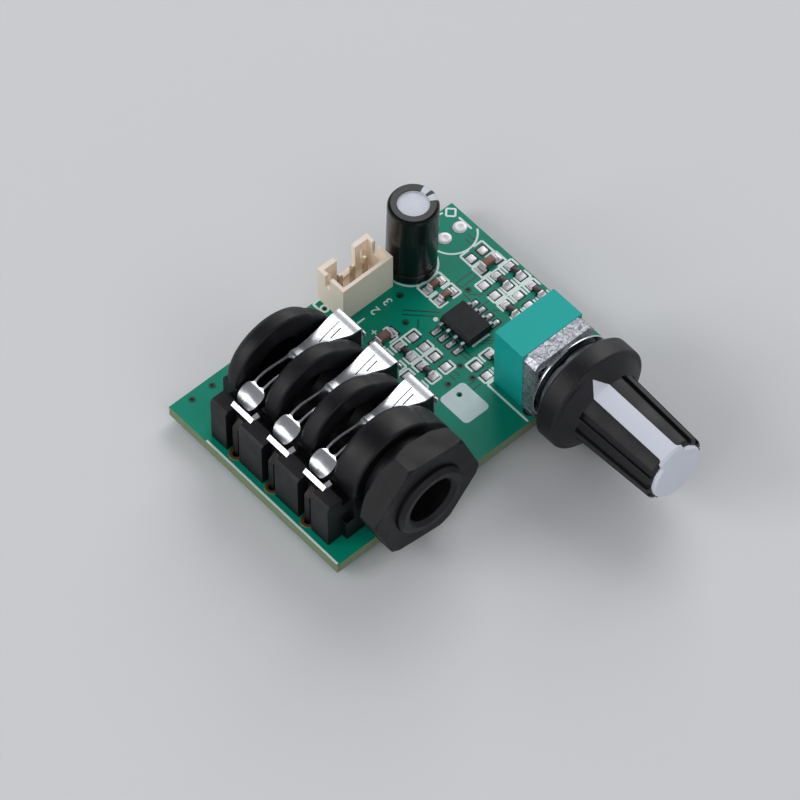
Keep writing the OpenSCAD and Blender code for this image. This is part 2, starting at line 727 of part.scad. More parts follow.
// Wiper: a thin ring on the rotor with two fingers that reach the track
module pot_wiper() {
    y0 = rotor_front + rotor_t;
    ring_r = rotor_r - 0.3;
    inner_r = ring_r / 3;
    finger_x = (ring_r + inner_r) / 2;
    color([0.8, 0.65, 0.35]) on_board() difference() {
        union() {
            rod_y(pot_x, y0, y0 + wiper_t, pot_z, ring_r);
            for (s = [-1, 1]) block([pot_x + s * finger_x - 0.25, y0, pot_z + inner_r],
                [pot_x + s * finger_x + 0.25, track_front - contact_play, pot_z + inner_r + 0.5]);
        }
        rod_y(pot_x, y0 - 1, y0 + wiper_t + 1, pot_z, inner_r);
    }
}

// Half section of the knob, radius against the distance from its tip
function knob_section(grow) = let (
        tip = insert_t, rim = knob_len - skirt_d, root = rim - grip_root, round = 0.5)
    concat([[0, tip], [grip_tip_r + grow - 0.25, tip], [grip_tip_r + grow, tip + 0.25],
        [grip_r + grow, root]], [[grip_r + 0.25 + grow, root + 0.3],
        [skirt_r - round - 0.2 + grow, rim - 0.1]],
        arc_points(skirt_r - round + grow, rim + round, round, -70, 0, 5),
        [[skirt_r + grow, knob_len - 0.3], [skirt_r - 0.3 + grow, knob_len], [0, knob_len]]);

// Turns pieces of the knob so that the pointer line stands at its angle
module knob_turned() {
    on_board() translate([pot_x, knob_tip, pot_z]) rotate([0, -pointer_turn, 0]) children();
}

// Plan of the pointer line from its arrow end at the skirt to the tip
module pointer_plan(tip_y) {
    w = pointer_w / 2;
    root = knob_len - skirt_d - grip_root;
    flare = 0.5;
    side = concat(arc_points(w + flare, insert_t + flare, flare, 180, 270, 5),
        [[w + flare, tip_y]]);
    polygon(concat([[0, root + 1.2], [w, root]], side,
        [for (i = [len(side) - 1:-1:0]) [-side[i][0], side[i][1]]], [[-w, root]]));
}

module pointer_prism(tip_y, low) {
    translate([0, 0, low]) linear_extrude(skirt_r) pointer_plan(tip_y);
}

module knob_body() {
    color([0.13, 0.13, 0.15]) knob_turned() difference() {
        rotate([-90, 0, 0]) rotate_extrude($fn = 96) polygon(knob_section(0));
        pointer_prism(0, pointer_floor);
        for (k = [0:groove_count - 1])
            rotate([0, land_half + k * (360 - 2 * land_half) / (groove_count - 1), 0])
                translate([-groove_w / 2, -1, grip_tip_r - groove_depth])
                    rotate([asin((grip_r - grip_tip_r) / (grip_start - grip_end)), 0, 0])
                        cube([groove_w, grip_start - knob_tip + 1.2, 3]);
        rotate([-90, 0, 0]) translate([0, 0, nut_hollow - knob_tip])
            cylinder(h = knob_len, r = nut_hollow_r);
        rotate([-90, 0, 0]) translate([0, 0, bush_hollow - knob_tip])
            cylinder(h = knob_len, r = bush_hollow_r);
        rotate([-90, 0, 0]) translate([0, 0, shaft_tip - knob_tip - 0.3])
            cylinder(h = knob_len, r = shaft_r + knob_play);
    }
}

// White insert: a round end with a rounded rim and the pointer line that runs from it
module knob_insert() {
    color("white") knob_turned() union() {
        rotate([-90, 0, 0]) rotate_extrude($fn = 96)
            polygon(disc_section(insert_r, insert_t, insert_t / 2, 0.05));
        intersection() {
            rotate([-90, 0, 0]) rotate_extrude($fn = 96) polygon(concat(
                [[0, 0.1], [grip_tip_r + pointer_rise - 0.8, 0.1],
                    [grip_tip_r + pointer_rise - 0.25, 0.35],
                    [grip_tip_r + pointer_rise, insert_t]],
                [for (p = knob_section(pointer_rise)) if (p[1] > insert_t + 0.3) p]));
            union() {
                pointer_prism(0, pointer_floor);
                intersection() {
                    pointer_prism(0, pointer_base);
                    translate([-skirt_r, 0, 0]) cube([2 * skirt_r, insert_t, 2 * skirt_r]);
                }
            }
        }
    }
}

module ic_body() {
    w = ic_w / 2;
    mid = (ic_gap + ic_h) / 2;
    draft = 0.12;
    color([0.13, 0.13, 0.14]) on_board() translate([ic_x, ic_y, 0])
        extruded_y(-ic_l / 2, ic_l / 2) polygon([[-w + draft, ic_gap], [w - draft, ic_gap],
            [w, mid], [w - draft, ic_h], [-w + draft + 0.3, ic_h], [-w + draft, ic_h - 0.3],
            [-w, mid]]);
}

// Gull-wing leads in two rows
module ic_leads() {
    w = ic_w / 2;
    mid = (ic_gap + ic_h) / 2;
    t = 0.2;
    color("gainsboro") on_board() translate([ic_x, ic_y, 0])
        for (s = [-1, 1], k = [-1.5:1:1.5]) translate([0, k * ic_pitch, 0])
            extruded_y(-0.2, 0.2) polygon([for (p = [[w, mid - t / 2], [w + 0.35, mid - t / 2],
                [w + 0.55, 0.02], [w + ic_reach, 0.02], [w + ic_reach, t + 0.02],
                [w + 0.75, t + 0.02], [w + 0.52, mid + t / 2], [w, mid + t / 2]])
                [s * p[0], p[1]]]);
}

// A chip with a metal cap on each end
module chip(x, y, along_y, l, w, h) {
    cap = l * 0.2;
    lip = 0.02;
    on_board() translate([x, y, chip_seat]) rotate([0, 0, along_y ? 90 : 0]) {
        block([-l / 2 + cap / 2, -w / 2 + lip, lip], [l / 2 - cap / 2, w / 2 - lip, h - lip]);
        for (s = [-1, 1]) translate([s * (l - cap) / 2, 0, 0])
            block([-cap / 2, -w / 2, 0], [cap / 2, w / 2, h]);
    }
}

module resistor(k) {
    p = resistors[k];
    color([0.1, 0.1, 0.1]) chip(p[0], p[1], p[2], chip_l, chip_w, chip_h);
}

module chip_capacitor(k) {
    p = chip_caps[k];
    color([0.55, 0.38, 0.28])
        chip(p[0], p[1], false, chip_l * p[2], chip_w * p[2], cap_chip_h * p[2]);
}

circuit_board();
spare_pads();
spare_solder();
solder_joints();
jack_housing();
jack_nut();
blade(blade_y[0]);  // sleeve_blade
blade(blade_y[1]);  // ring_blade
blade(blade_y[2]);  // tip_blade
terminal(blade_y[0]);  // sleeve_terminal
terminal(blade_y[1]);  // ring_terminal
terminal(blade_y[2]);  // tip_terminal
switch_contact(switch_y[0]);  // sleeve_switch
switch_contact(switch_y[1]);  // ring_switch
switch_contact(switch_y[2]);  // tip_switch
header_housing();
header_pins();
capacitor_can();
capacitor_sleeve();
capacitor_bung();
capacitor_leads();
pot_housing();
pot_front_plate();
pot_track();
pot_terminals();
pot_washer();
pot_nut();
pot_shaft();
pot_rotor();
pot_wiper();
knob_body();
knob_insert();
ic_body();
ic_leads();
resistor(0);  // resistor_1
resistor(1);  // resistor_2
resistor(2);  // resistor_3
resistor(3);  // resistor_4
resistor(4);  // resistor_5
resistor(5);  // resistor_6
resistor(6);  // resistor_7
chip_capacitor(0);  // chip_capacitor_1
chip_capacitor(1);  // chip_capacitor_2
chip_capacitor(2);  // chip_capacitor_3
chip_capacitor(3);  // chip_capacitor_4
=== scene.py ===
import math

import bmesh
import bpy
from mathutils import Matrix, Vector


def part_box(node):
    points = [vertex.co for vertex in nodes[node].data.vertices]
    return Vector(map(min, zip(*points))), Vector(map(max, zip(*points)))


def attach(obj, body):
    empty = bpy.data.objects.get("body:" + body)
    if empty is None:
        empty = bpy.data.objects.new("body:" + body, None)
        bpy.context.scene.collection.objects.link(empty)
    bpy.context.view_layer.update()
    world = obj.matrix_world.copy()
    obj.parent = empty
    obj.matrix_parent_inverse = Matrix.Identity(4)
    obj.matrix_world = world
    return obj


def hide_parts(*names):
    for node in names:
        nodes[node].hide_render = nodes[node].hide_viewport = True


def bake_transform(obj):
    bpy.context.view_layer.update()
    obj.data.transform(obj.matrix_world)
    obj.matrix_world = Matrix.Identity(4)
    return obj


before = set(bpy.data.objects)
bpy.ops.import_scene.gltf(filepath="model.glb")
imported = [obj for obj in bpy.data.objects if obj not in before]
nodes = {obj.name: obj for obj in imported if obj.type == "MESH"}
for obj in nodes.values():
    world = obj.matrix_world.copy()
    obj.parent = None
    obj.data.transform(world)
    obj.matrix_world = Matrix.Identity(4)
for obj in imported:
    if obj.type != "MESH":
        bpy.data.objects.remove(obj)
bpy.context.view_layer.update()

mm = 0.001
boardLow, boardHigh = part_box("circuit_board")
boardCorner = Vector((boardLow.x, boardLow.y, boardHigh.z))  # front left corner of the board's top
sunk = -0.01  # how deep what lies on the board starts below its surface


def at(x, y, z=0.0):  # board millimetres to scene metres
    return boardCorner + Vector((x, y, z)) * mm


def boardPlace(point):  # and back
    return (point - boardCorner) / mm


def boxOf(node):  # a CAD node's corners in board millimetres
    low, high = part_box(node)
    return boardPlace(low), boardPlace(high)


def placeOf(node):  # its middle and size
    low, high = boxOf(node)
    return (low + high) / 2, high - low


def clearSelection():
    if bpy.context.mode != "OBJECT":
        bpy.ops.object.mode_set(mode="OBJECT")
    bpy.ops.object.select_all(action="DESELECT")


def pick(piece):
    clearSelection()
    piece.select_set(True)
    bpy.context.view_layer.objects.active = piece


def editPiece(piece):
    pick(piece)
    bpy.ops.object.mode_set(mode="EDIT")


def editAll(piece):
    editPiece(piece)
    bpy.ops.mesh.select_all(action="SELECT")


def leaveEdit():
    bpy.ops.object.mode_set(mode="OBJECT")


def settle(name):
    piece = bpy.context.object
    pick(piece)
    bpy.ops.object.transform_apply(location=True, rotation=True, scale=True)
    piece.name = name
    piece.data.name = name
    return piece


def removePiece(piece):
    bpy.data.objects.remove(piece, do_unlink=True)


def chooseParts(piece, kind, test):
    bpy.ops.mesh.select_mode(type=kind)
    bpy.ops.mesh.select_all(action="DESELECT")
    cage = bmesh.from_edit_mesh(piece.data)
    for part in {"FACE": cage.faces, "EDGE": cage.edges, "VERT": cage.verts}[kind]:
        if test(part):
            part.select_set(True)
    if kind == "VERT":
        cage.select_flush_mode()
    bmesh.update_edit_mesh(piece.data)


def chooseFaces(piece, test):
    chooseParts(piece, "FACE", lambda face: test(face.normal))


def chooseEdges(piece, test):  # by their middle and their run from end to end
    chooseParts(piece, "EDGE", lambda edge: test(boardPlace((edge.verts[0].co + edge.verts[1].co) / 2),
                                                 edge.verts[1].co - edge.verts[0].co))


def choosePoints(piece, test):
    chooseParts(piece, "VERT", lambda point: test(boardPlace(point.co)))


def upright(place, run):  # picks the edges that stand on the board
    return abs(run.z) > 1e-6 and run.xy.length < 1e-6


def upFaces(normal):
    return normal.z > 0.99


def frontFaces(normal):
    return normal.y < -0.99


def moveChosen(x, y, z):
    bpy.ops.transform.translate(value=Vector((x, y, z)) * mm)


def bevelChosen(offset, segments):
    bpy.ops.mesh.bevel(offset=offset * mm, segments=segments, affect="EDGES")


def bevelEdges(piece, test, offset, segments):
    editPiece(piece)
    chooseEdges(piece, test)
    bevelChosen(offset, segments)
    leaveEdit()


def stepFaces(piece, test, steps):  # insets the chosen faces and moves them, step by step
    editPiece(piece)
    chooseFaces(piece, test)
    for inset, move in steps:
        bpy.ops.mesh.inset(thickness=inset * mm)
        moveChosen(*move)
    leaveEdit()


def movePoints(piece, test, move):
    editPiece(piece)
    choosePoints(piece, test)
    moveChosen(*move)
    leaveEdit()


def addBlock(name, low, high, bevel=0.0, segments=2):
    clearSelection()
    a, b = at(*low), at(*high)
    bpy.ops.mesh.primitive_cube_add(size=1, location=(a + b) / 2, scale=b - a)
    piece = settle(name)
    if bevel:
        editAll(piece)
        bevelChosen(bevel, segments)
        leaveEdit()
    return piece


def addBar(start, end, width, low, high):  # a straight bar lying on the board from start to end
    clearSelection()
    along = Vector((end[0] - start[0], end[1] - start[1], 0))
    middle = at((start[0] + end[0]) / 2, (start[1] + end[1]) / 2, (low + high) / 2)
    size = Vector((along.length, width, high - low)) * mm
    bpy.ops.mesh.primitive_cube_add(size=1, location=middle, rotation=(0, 0, math.atan2(along.y, along.x)), scale=size)
    return settle("bar")


def addRod(name, place, radius, depth, sides, lying=False):  # a round rod, upright or lying along Y
    clearSelection()
    bpy.ops.mesh.primitive_cylinder_add(vertices=sides, radius=radius * mm, depth=depth * mm, location=at(*place),
                                        rotation=(math.pi / 2 if lying else 0, 0, 0))
    return settle(name)


def applyModifier(piece, kind, **values):
    pick(piece)
    bpy.ops.object.modifier_add(type=kind)
    modifier = piece.modifiers[-1]
    for key, value in values.items():
        setattr(modifier, key, value)
    bpy.ops.object.modifier_apply(modifier=modifier.name)


def outwards(piece):
    editAll(piece)
    bpy.ops.mesh.normals_make_consistent(inside=False)
    leaveEdit()


def cutWith(piece, cutter):
    applyModifier(piece, "BOOLEAN", operation="DIFFERENCE", solver="EXACT", object=cutter)
    removePiece(cutter)


def addRing(name, x, y, inner, outer, high, sides, keep=None):  # a flat ring on the board
    clearSelection()
    centre = at(x, y, (sunk + high) / 2)
    bpy.ops.mesh.primitive_circle_add(vertices=sides, radius=inner * mm, location=centre)
    piece = settle(name)
    editPiece(piece)
    bpy.ops.mesh.select_mode(type="EDGE")
    bpy.ops.mesh.select_all(action="SELECT")
    bpy.ops.mesh.extrude_region_move()
    bpy.ops.transform.resize(value=(outer / inner, outer / inner, 1), center_override=centre)
    if keep:
        choosePoints(piece, lambda p: not keep(p))
        bpy.ops.mesh.delete(type="VERT")
    leaveEdit()
    applyModifier(piece, "SOLIDIFY", thickness=(high - sunk) * mm, offset=0)
    outwards(piece)
    return piece


def joinPieces(name, pieces):
    clearSelection()
    for piece in pieces:
        piece.select_set(True)
    bpy.context.view_layer.objects.active = pieces[0]
    if len(pieces) > 1:
        bpy.ops.object.join()
    return settle(name)


def copyPiece(piece, name, shift, turn=0):  # a copy with its own mesh, turned about the board's corner and shifted
    pick(piece)
    bpy.ops.object.duplicate(linked=False)
    twin = bpy.context.object
    editAll(twin)
    if turn:
        bpy.ops.transform.rotate(value=math.radians(-turn), orient_axis="Z", center_override=at(0, 0))
    moveChosen(*shift)
    leaveEdit()
    twin.name = name
    twin.data.name = name
    return twin


def spread(first, name, places):  # one piece joined from a copy at each place, and the first one goes
    copies = [copyPiece(first, name, (x, y, 0)) for x, y in places]
    removePiece(first)
    return joinPieces(name, copies)


def smooth(piece, angle):
    pick(piece)
    bpy.ops.object.shade_smooth_by_angle(angle=math.radians(angle))


def cover(piece, finish):
    piece.data.materials.clear()
    piece.data.materials.append(finishes[finish])


def dress(piece, finish):  # finish and ride on the board
    cover(piece, finish)
    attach(piece, "board")


def paint(r, g, b):
    return tuple((c / 255 / 12.92) if c <= 10 else ((c / 255 + 0.055) / 1.055) ** 2.4 for c in (r, g, b)) + (1.0,)


def feed(tree, node, inputs):  # each input gets a value or another node's output
    for label, value in inputs.items():
        if isinstance(value, bpy.types.NodeSocket):
            tree.links.new(value, node.inputs[label])
        else:
            node.inputs[label].default_value = value


def wire(tree, kind, inputs=None, **values):  # a new node with its settings and inputs
    node = tree.nodes.new(kind)
    for key, value in values.items():
        setattr(node, key, value)
    feed(tree, node, inputs or {})
    return node


def calculate(tree, operation, *values):
    return wire(tree, "ShaderNodeMath", dict(enumerate(values)), operation=operation).outputs[0]


def remap(tree, value, fromLow, fromHigh, low=0.0, high=1.0):
    return wire(tree, "ShaderNodeMapRange", {"Value": value, "From Min": fromLow, "From Max": fromHigh, "To Min": low,
                                             "To Max": high}).outputs["Result"]


def mixColours(tree, share, first, second):
    return wire(tree, "ShaderNodeMix", {"Factor": share, "A": first, "B": second}, data_type="RGBA").outputs["Result"]


def placeIn(tree, output="Object"):
    return wire(tree, "ShaderNodeTexCoord").outputs[output]


def noise(tree, scale, detail, output="Fac"):
    return wire(tree, "ShaderNodeTexNoise", {"Vector": placeIn(tree), "Scale": scale, "Detail": detail}).outputs[output]


def softNormal(tree, radius):  # the normal rounded off at the edges
    return wire(tree, "ShaderNodeBevel", {"Radius": radius}, samples=6).outputs["Normal"]


def bumpNormal(tree, height, strength, depth, edge=0.0):
    inputs = {"Height": height, "Strength": strength, "Distance": depth * mm}
    if edge:
        inputs["Normal"] = softNormal(tree, edge * mm)
    return wire(tree, "ShaderNodeBump", inputs).outputs["Normal"]


def makeGroup(name, inputs, outputs):
    group = bpy.data.node_groups.new(name, "ShaderNodeTree")
    for label, kind, value in inputs:
        group.interface.new_socket(label, in_out="INPUT", socket_type="NodeSocket" + kind).default_value = value
    for label, kind in outputs:
        group.interface.new_socket(label, in_out="OUTPUT", socket_type="NodeSocket" + kind)
    return group, wire(group, "NodeGroupInput").outputs


def makeGrainGroup():  # fine moulded or cast texture: a height and a slow patchiness
    tree, given = makeGroup("grainAndPatches", [("Grain Scale", "Float", 3000.0), ("Patch Scale", "Float", 300.0)],
                            [("Height", "Float"), ("Patches", "Float")])
    wire(tree, "NodeGroupOutput", {"Height": noise(tree, given["Grain Scale"], 3),
                                   "Patches": noise(tree, given["Patch Scale"], 2)})
    return tree


def makeDustGroup():  # pale specks and fine dust lying on faces that look up
    tree, given = makeGroup("dustOnTop", [("Colour", "Color", (0, 0, 0, 1)), ("Dust", "Color", paint(170, 170, 175)),
                                          ("Amount", "Float", 0.1)], [("Colour", "Color")])
    rise = wire(tree, "ShaderNodeSeparateXYZ", {"Vector": placeIn(tree, "Normal")}).outputs["Z"]
    specks = remap(tree, noise(tree, 5200, 4), 0.6, 0.8)
    lying = calculate(tree, "MULTIPLY", calculate(tree, "MAXIMUM", rise, 0.0), specks)
    amount = calculate(tree, "MULTIPLY", lying, given["Amount"])
    wire(tree, "NodeGroupOutput", {"Colour": mixColours(tree, amount, given["Colour"], given["Dust"])})
    return tree


def makeWearGroup():  # 1 along edges that are rubbed, broken up by a fine noise, and 0 on the flats
    tree, given = makeGroup("edgeWear", [("Radius", "Float", 0.1 * mm), ("Amount", "Float", 0.5)], [("Mask", "Float")])
    sharp = wire(tree, "ShaderNodeNewGeometry").outputs["Normal"]
    turned = wire(tree, "ShaderNodeVectorMath", {0: softNormal(tree, given["Radius"]), 1: sharp}, operation="DOT_PRODUCT")
    edges = remap(tree, turned.outputs["Value"], 0.995, 0.86)
    broken = calculate(tree, "MULTIPLY", edges, remap(tree, noise(tree, 1800, 3), 0.35, 0.65))
    wire(tree, "NodeGroupOutput", {"Mask": calculate(tree, "MULTIPLY", broken, given["Amount"])})
    return tree


grainGroup = makeGrainGroup()
dustGroup = makeDustGroup()
wearGroup = makeWearGroup()


def newMaterial(name):
    material = bpy.data.materials.new(name)
    material.use_nodes = True
    return material, material.node_tree, material.node_tree.nodes["Principled BSDF"]


def grainIn(tree, grainScale, patchScale=300):
    group = wire(tree, "ShaderNodeGroup", {"Grain Scale": grainScale, "Patch Scale": patchScale}, node_tree=grainGroup)
    return group.outputs["Height"], group.outputs["Patches"]


def dusted(tree, colour, amount):
    return wire(tree, "ShaderNodeGroup", {"Colour": colour, "Amount": amount}, node_tree=dustGroup).outputs["Colour"]


def makeFinish(name, look):  # one surface from its look
    material, tree, shader = newMaterial(name)
    edge = look.get("edge", 0.08)
    height, patches = grainIn(tree, look.get("grainScale", 3000), look.get("patchScale", 300))
    surface = mixColours(tree, patches, paint(*look["colour"]), paint(*look["second"]))
    if "wear" in look:
        worn = wire(tree, "ShaderNodeGroup", {"Radius": edge * mm, "Amount": look["wear"]}, node_tree=wearGroup)
        surface = mixColours(tree, worn.outputs["Mask"], surface, paint(*look["worn"]))
    if "dust" in look:
        surface = dusted(tree, surface, look["dust"])
    feed(tree, shader, {"Base Color": surface, "Metallic": look.get("metal", 0.0), "Specular IOR Level": look.get("gloss", 0.5),
                        "Roughness": remap(tree, patches, 0.3, 0.7, *look["rough"]),
                        "Normal": bumpNormal(tree, height, look["bump"], look.get("bumpDepth", 0.02), edge)})
    return material


rubbedBlack = (84, 84, 92)
looks = {
    "solderJoint": dict(colour=(196, 198, 202), second=(150, 152, 158), metal=1.0, rough=(0.22, 0.42), bump=0.35,
                        bumpDepth=0.05, grainScale=1200, patchScale=900, edge=0.1),
    "jackBlack": dict(colour=(8, 8, 11), second=(13, 13, 18), rough=(0.44, 0.58), bump=0.22, gloss=0.36, grainScale=5000,
                      patchScale=350, dust=0.05, edge=0.12, wear=0.3, worn=rubbedBlack),
    "nutBlack": dict(colour=(9, 9, 12), second=(14, 14, 17), rough=(0.42, 0.55), bump=0.22, gloss=0.28, grainScale=5000,
                     patchScale=350, dust=0.05, edge=0.2, wear=0.35, worn=rubbedBlack),
    "stripTin": dict(colour=(226, 227, 232), second=(206, 207, 213), metal=0.7, rough=(0.2, 0.34), bump=0.14,
                     grainScale=1500, patchScale=500, edge=0.05),
    # the fixed contacts' tin is painted dark: painted shade for the deep shade between the jack's posts, where the
    # contacts' legs run down
    "fixedTinPaintedShade": dict(colour=(44, 41, 38), second=(28, 26, 24), metal=0.7, gloss=0.3, rough=(0.34, 0.48), bump=0.1,
                     grainScale=1500, patchScale=500, edge=0.04),
    "creamNylon": dict(colour=(254, 240, 224), second=(247, 231, 212), rough=(0.42, 0.58), bump=0.2, grainScale=3500,
                       patchScale=250, wear=0.35, worn=(238, 232, 218)),
    "pinTin": dict(colour=(206, 200, 182), second=(184, 176, 156), metal=1.0, rough=(0.2, 0.32), bump=0.1, grainScale=2000,
                   patchScale=800, edge=0.03),
    "rubber": dict(colour=(22, 22, 22), second=(30, 30, 30), rough=(0.6, 0.75), bump=0.3, grainScale=2500),
    # the pot nut's steel is painted dark: painted shade for the shade it lies in under the knob
    "nutSteelPaintedShade": dict(colour=(84, 88, 92), second=(58, 61, 66), metal=1.0, rough=(0.34, 0.5), bump=0.1, grainScale=1500,
                     patchScale=600),
    "washerBright": dict(colour=(222, 223, 226), second=(204, 205, 209), metal=1.0, rough=(0.14, 0.24), bump=0.06,
                         grainScale=1500, patchScale=400, edge=0.05),
    "shaftAluminium": dict(colour=(205, 206, 209), second=(188, 189, 193), metal=1.0, rough=(0.26, 0.36), bump=0.1,
                           grainScale=1500, patchScale=500, edge=0.05),
    "rotorBlack": dict(colour=(30, 30, 34), second=(40, 40, 44), rough=(0.45, 0.6), bump=0.2),
    "trackBrown": dict(colour=(96, 66, 44), second=(78, 52, 34), rough=(0.45, 0.6), bump=0.15),
    "wiperBronze": dict(colour=(214, 176, 106), second=(196, 156, 88), metal=1.0, rough=(0.22, 0.34), bump=0.08, edge=0.03),
    "knobBlack": dict(colour=(17, 17, 19), second=(25, 25, 28), rough=(0.46, 0.6), bump=0.34, bumpDepth=0.03, gloss=0.4,
                      grainScale=4500, patchScale=260, dust=0.14, edge=0.14, wear=0.4, worn=rubbedBlack),
    "knobWhite": dict(colour=(224, 228, 240), second=(216, 221, 235), rough=(0.34, 0.46), bump=0.08, patchScale=200,
                      edge=0.12, gloss=0.4),
    "potTeal": dict(colour=(2, 168, 161), second=(5, 180, 173), gloss=0.3, rough=(0.4, 0.54), bump=0.2, grainScale=3600,
                    patchScale=260, dust=0.015, edge=0.12, wear=0.3, worn=(120, 206, 198)),
    "canTop": dict(colour=(212, 216, 226), second=(200, 204, 214), metal=0.3, rough=(0.45, 0.58), bump=0.12,
                   grainScale=2200, patchScale=400, edge=0.06),
    "chipBlack": dict(colour=(18, 20, 23), second=(28, 30, 35), rough=(0.45, 0.62), bump=0.35, bumpDepth=0.03, gloss=0.3,
                      grainScale=4200, patchScale=900, edge=0.06, wear=0.3, worn=(90, 92, 98)),
    "resistorBlack": dict(colour=(20, 18, 19), second=(52, 46, 46), rough=(0.2, 0.42), bump=0.2, grainScale=4200,
                          patchScale=1800, edge=0.03),
    "ceramicBrown": dict(colour=(140, 98, 84), second=(112, 74, 62), rough=(0.3, 0.48), bump=0.25, grainScale=3800,
                         patchScale=1500, edge=0.05),
    "endCapTin": dict(colour=(244, 241, 244), second=(212, 209, 214), metal=0.3, rough=(0.3, 0.46), bump=0.25,
                      bumpDepth=0.03, grainScale=2600, patchScale=1600, edge=0.05),
    "leadSteel": dict(colour=(176, 178, 184), second=(116, 118, 124), metal=0.9, rough=(0.22, 0.4), bump=0.25,
                      bumpDepth=0.03, grainScale=2200, patchScale=1800, edge=0.04),
    "printWhite": dict(colour=(238, 250, 246), second=(222, 240, 235), rough=(0.5, 0.65), bump=0.3, grainScale=6000,
                       patchScale=2200, edge=0.0),
    "writeBox": dict(colour=(218, 234, 238), second=(204, 224, 228), rough=(0.5, 0.65), bump=0.3, grainScale=6000,
                     patchScale=1200, edge=0.0),
    "bareGap": dict(colour=(5, 24, 20), second=(9, 34, 28), rough=(0.4, 0.55), bump=0.2, grainScale=5000, patchScale=1500,
                    edge=0.0),
    "traceShade": dict(colour=(2, 76, 60), second=(4, 86, 70), rough=(0.3, 0.4), bump=0.15, grainScale=2600, patchScale=900,
                       edge=0.0),
    "viaMask": dict(colour=(4, 80, 64), second=(2, 66, 54), rough=(0.3, 0.4), bump=0.2, grainScale=2600, patchScale=1500,
                    edge=0.04),
    "ringCopper": dict(colour=(170, 140, 100), second=(128, 100, 66), metal=0.8, rough=(0.3, 0.45), bump=0.25,
                       bumpDepth=0.04, grainScale=2600, patchScale=1500, edge=0.03),
}
finishes = {name: makeFinish(name, look) for name, look in looks.items()}


def makeBoardMask():  # green mask above and below, bare glass laminate at the cut edges
    material, tree, shader = newMaterial("boardMask")
    rise = wire(tree, "ShaderNodeSeparateXYZ", {"Vector": placeIn(tree, "Normal")}).outputs["Z"]
    isFace = calculate(tree, "GREATER_THAN", calculate(tree, "ABSOLUTE", rise), 0.5)
    green = mixColours(tree, noise(tree, 160, 3), paint(0, 128, 103), paint(2, 149, 125))
    plies = wire(tree, "ShaderNodeTexWave", {"Vector": placeIn(tree), "Scale": 1100, "Distortion": 2.5, "Detail": 3},
                 wave_type="BANDS", bands_direction="Z").outputs["Fac"]
    laminate = mixColours(tree, plies, paint(96, 116, 88), paint(146, 156, 124))
    height, patches = grainIn(tree, 2600)
    feed(tree, shader, {"Base Color": dusted(tree, mixColours(tree, isFace, laminate, green), 0.015),
                        "Specular IOR Level": 0.2, "Roughness": remap(tree, isFace, 0, 1, 0.7, 0.3),
                        "Normal": bumpNormal(tree, height, 0.18, 0.03)})
    return material


def makeSpangle():  # zinc coat of the front plate: flat crystals, each with its own grey
    material, tree, shader = newMaterial("zincSpangle")
    waver = 0.9 * mm  # how far the crystals' edges are pushed about
    bent = wire(tree, "ShaderNodeVectorMath", {0: noise(tree, 1400, 4, "Color"), 1: (waver, waver, waver), 2: placeIn(tree)},
                operation="MULTIPLY_ADD").outputs[0]
    crystals = wire(tree, "ShaderNodeTexVoronoi", {"Vector": bent, "Scale": 3600})
    distance = crystals.outputs["Distance"]
    tone = wire(tree, "ShaderNodeValToRGB", {"Fac": crystals.outputs["Color"]})
    tone.color_ramp.elements[0].color = paint(108, 110, 118)
    tone.color_ramp.elements[1].color = paint(216, 218, 226)
    feed(tree, shader, {"Base Color": tone.outputs["Color"], "Metallic": 0.85,
                        "Roughness": remap(tree, distance, 0, 1, 0.32, 0.55),
                        "Normal": bumpNormal(tree, distance, 0.3, 0.05, 0.1)})
    return material


def makeSleeveFilm():  # shrunk black film with the pale stripe and its minus marks
    stripe = {"lean": 1.8, "centre": 4, "half": 27, "markHalf": 6, "pitch": 3.1, "gap": 1.3}
    material, tree, shader = newMaterial("sleeveFilm")
    low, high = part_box("capacitor_bung")
    foot = ((low.x + high.x) / 2, (low.y + high.y) / 2, boardCorner.z)
    centred = wire(tree, "ShaderNodeVectorMath", {0: placeIn(tree), 1: foot}, operation="SUBTRACT").outputs[0]
    stood = wire(tree, "ShaderNodeVectorRotate", {"Vector": centred, "Angle": math.radians(-stripe["lean"])},
                 rotation_type="Y_AXIS").outputs[0]
    split = wire(tree, "ShaderNodeSeparateXYZ", {"Vector": stood}).outputs
    turn = calculate(tree, "ADD", calculate(tree, "ARCTAN2", split["Y"], split["X"]), math.radians(stripe["centre"]))
    off = calculate(tree, "ABSOLUTE", turn)
    inStripe = calculate(tree, "LESS_THAN", off, math.radians(stripe["half"]))
    besideMark = calculate(tree, "GREATER_THAN", off, math.radians(stripe["markHalf"]))
    sinceMark = calculate(tree, "WRAP", split["Z"], stripe["pitch"] * mm, 0.0)
    betweenMarks = calculate(tree, "LESS_THAN", sinceMark, stripe["gap"] * mm)
    pale = calculate(tree, "MULTIPLY", inStripe, calculate(tree, "MAXIMUM", besideMark, betweenMarks))
    height, patches = grainIn(tree, 420, 500)
    feed(tree, shader, {"Base Color": dusted(tree, mixColours(tree, pale, paint(6, 8, 9), paint(206, 212, 222)), 0.1),
                        "Specular IOR Level": 0.3, "Coat Weight": 0.3, "Coat Roughness": 0.08,
                        "Roughness": remap(tree, patches, 0, 1, 0.24, 0.42), "Normal": bumpNormal(tree, height, 0.5, 0.12)})
    return material


finishes["boardMask"] = makeBoardMask()
finishes["zincSpangle"] = makeSpangle()
finishes["sleeveFilm"] = makeSleeveFilm()
print("materials ready")

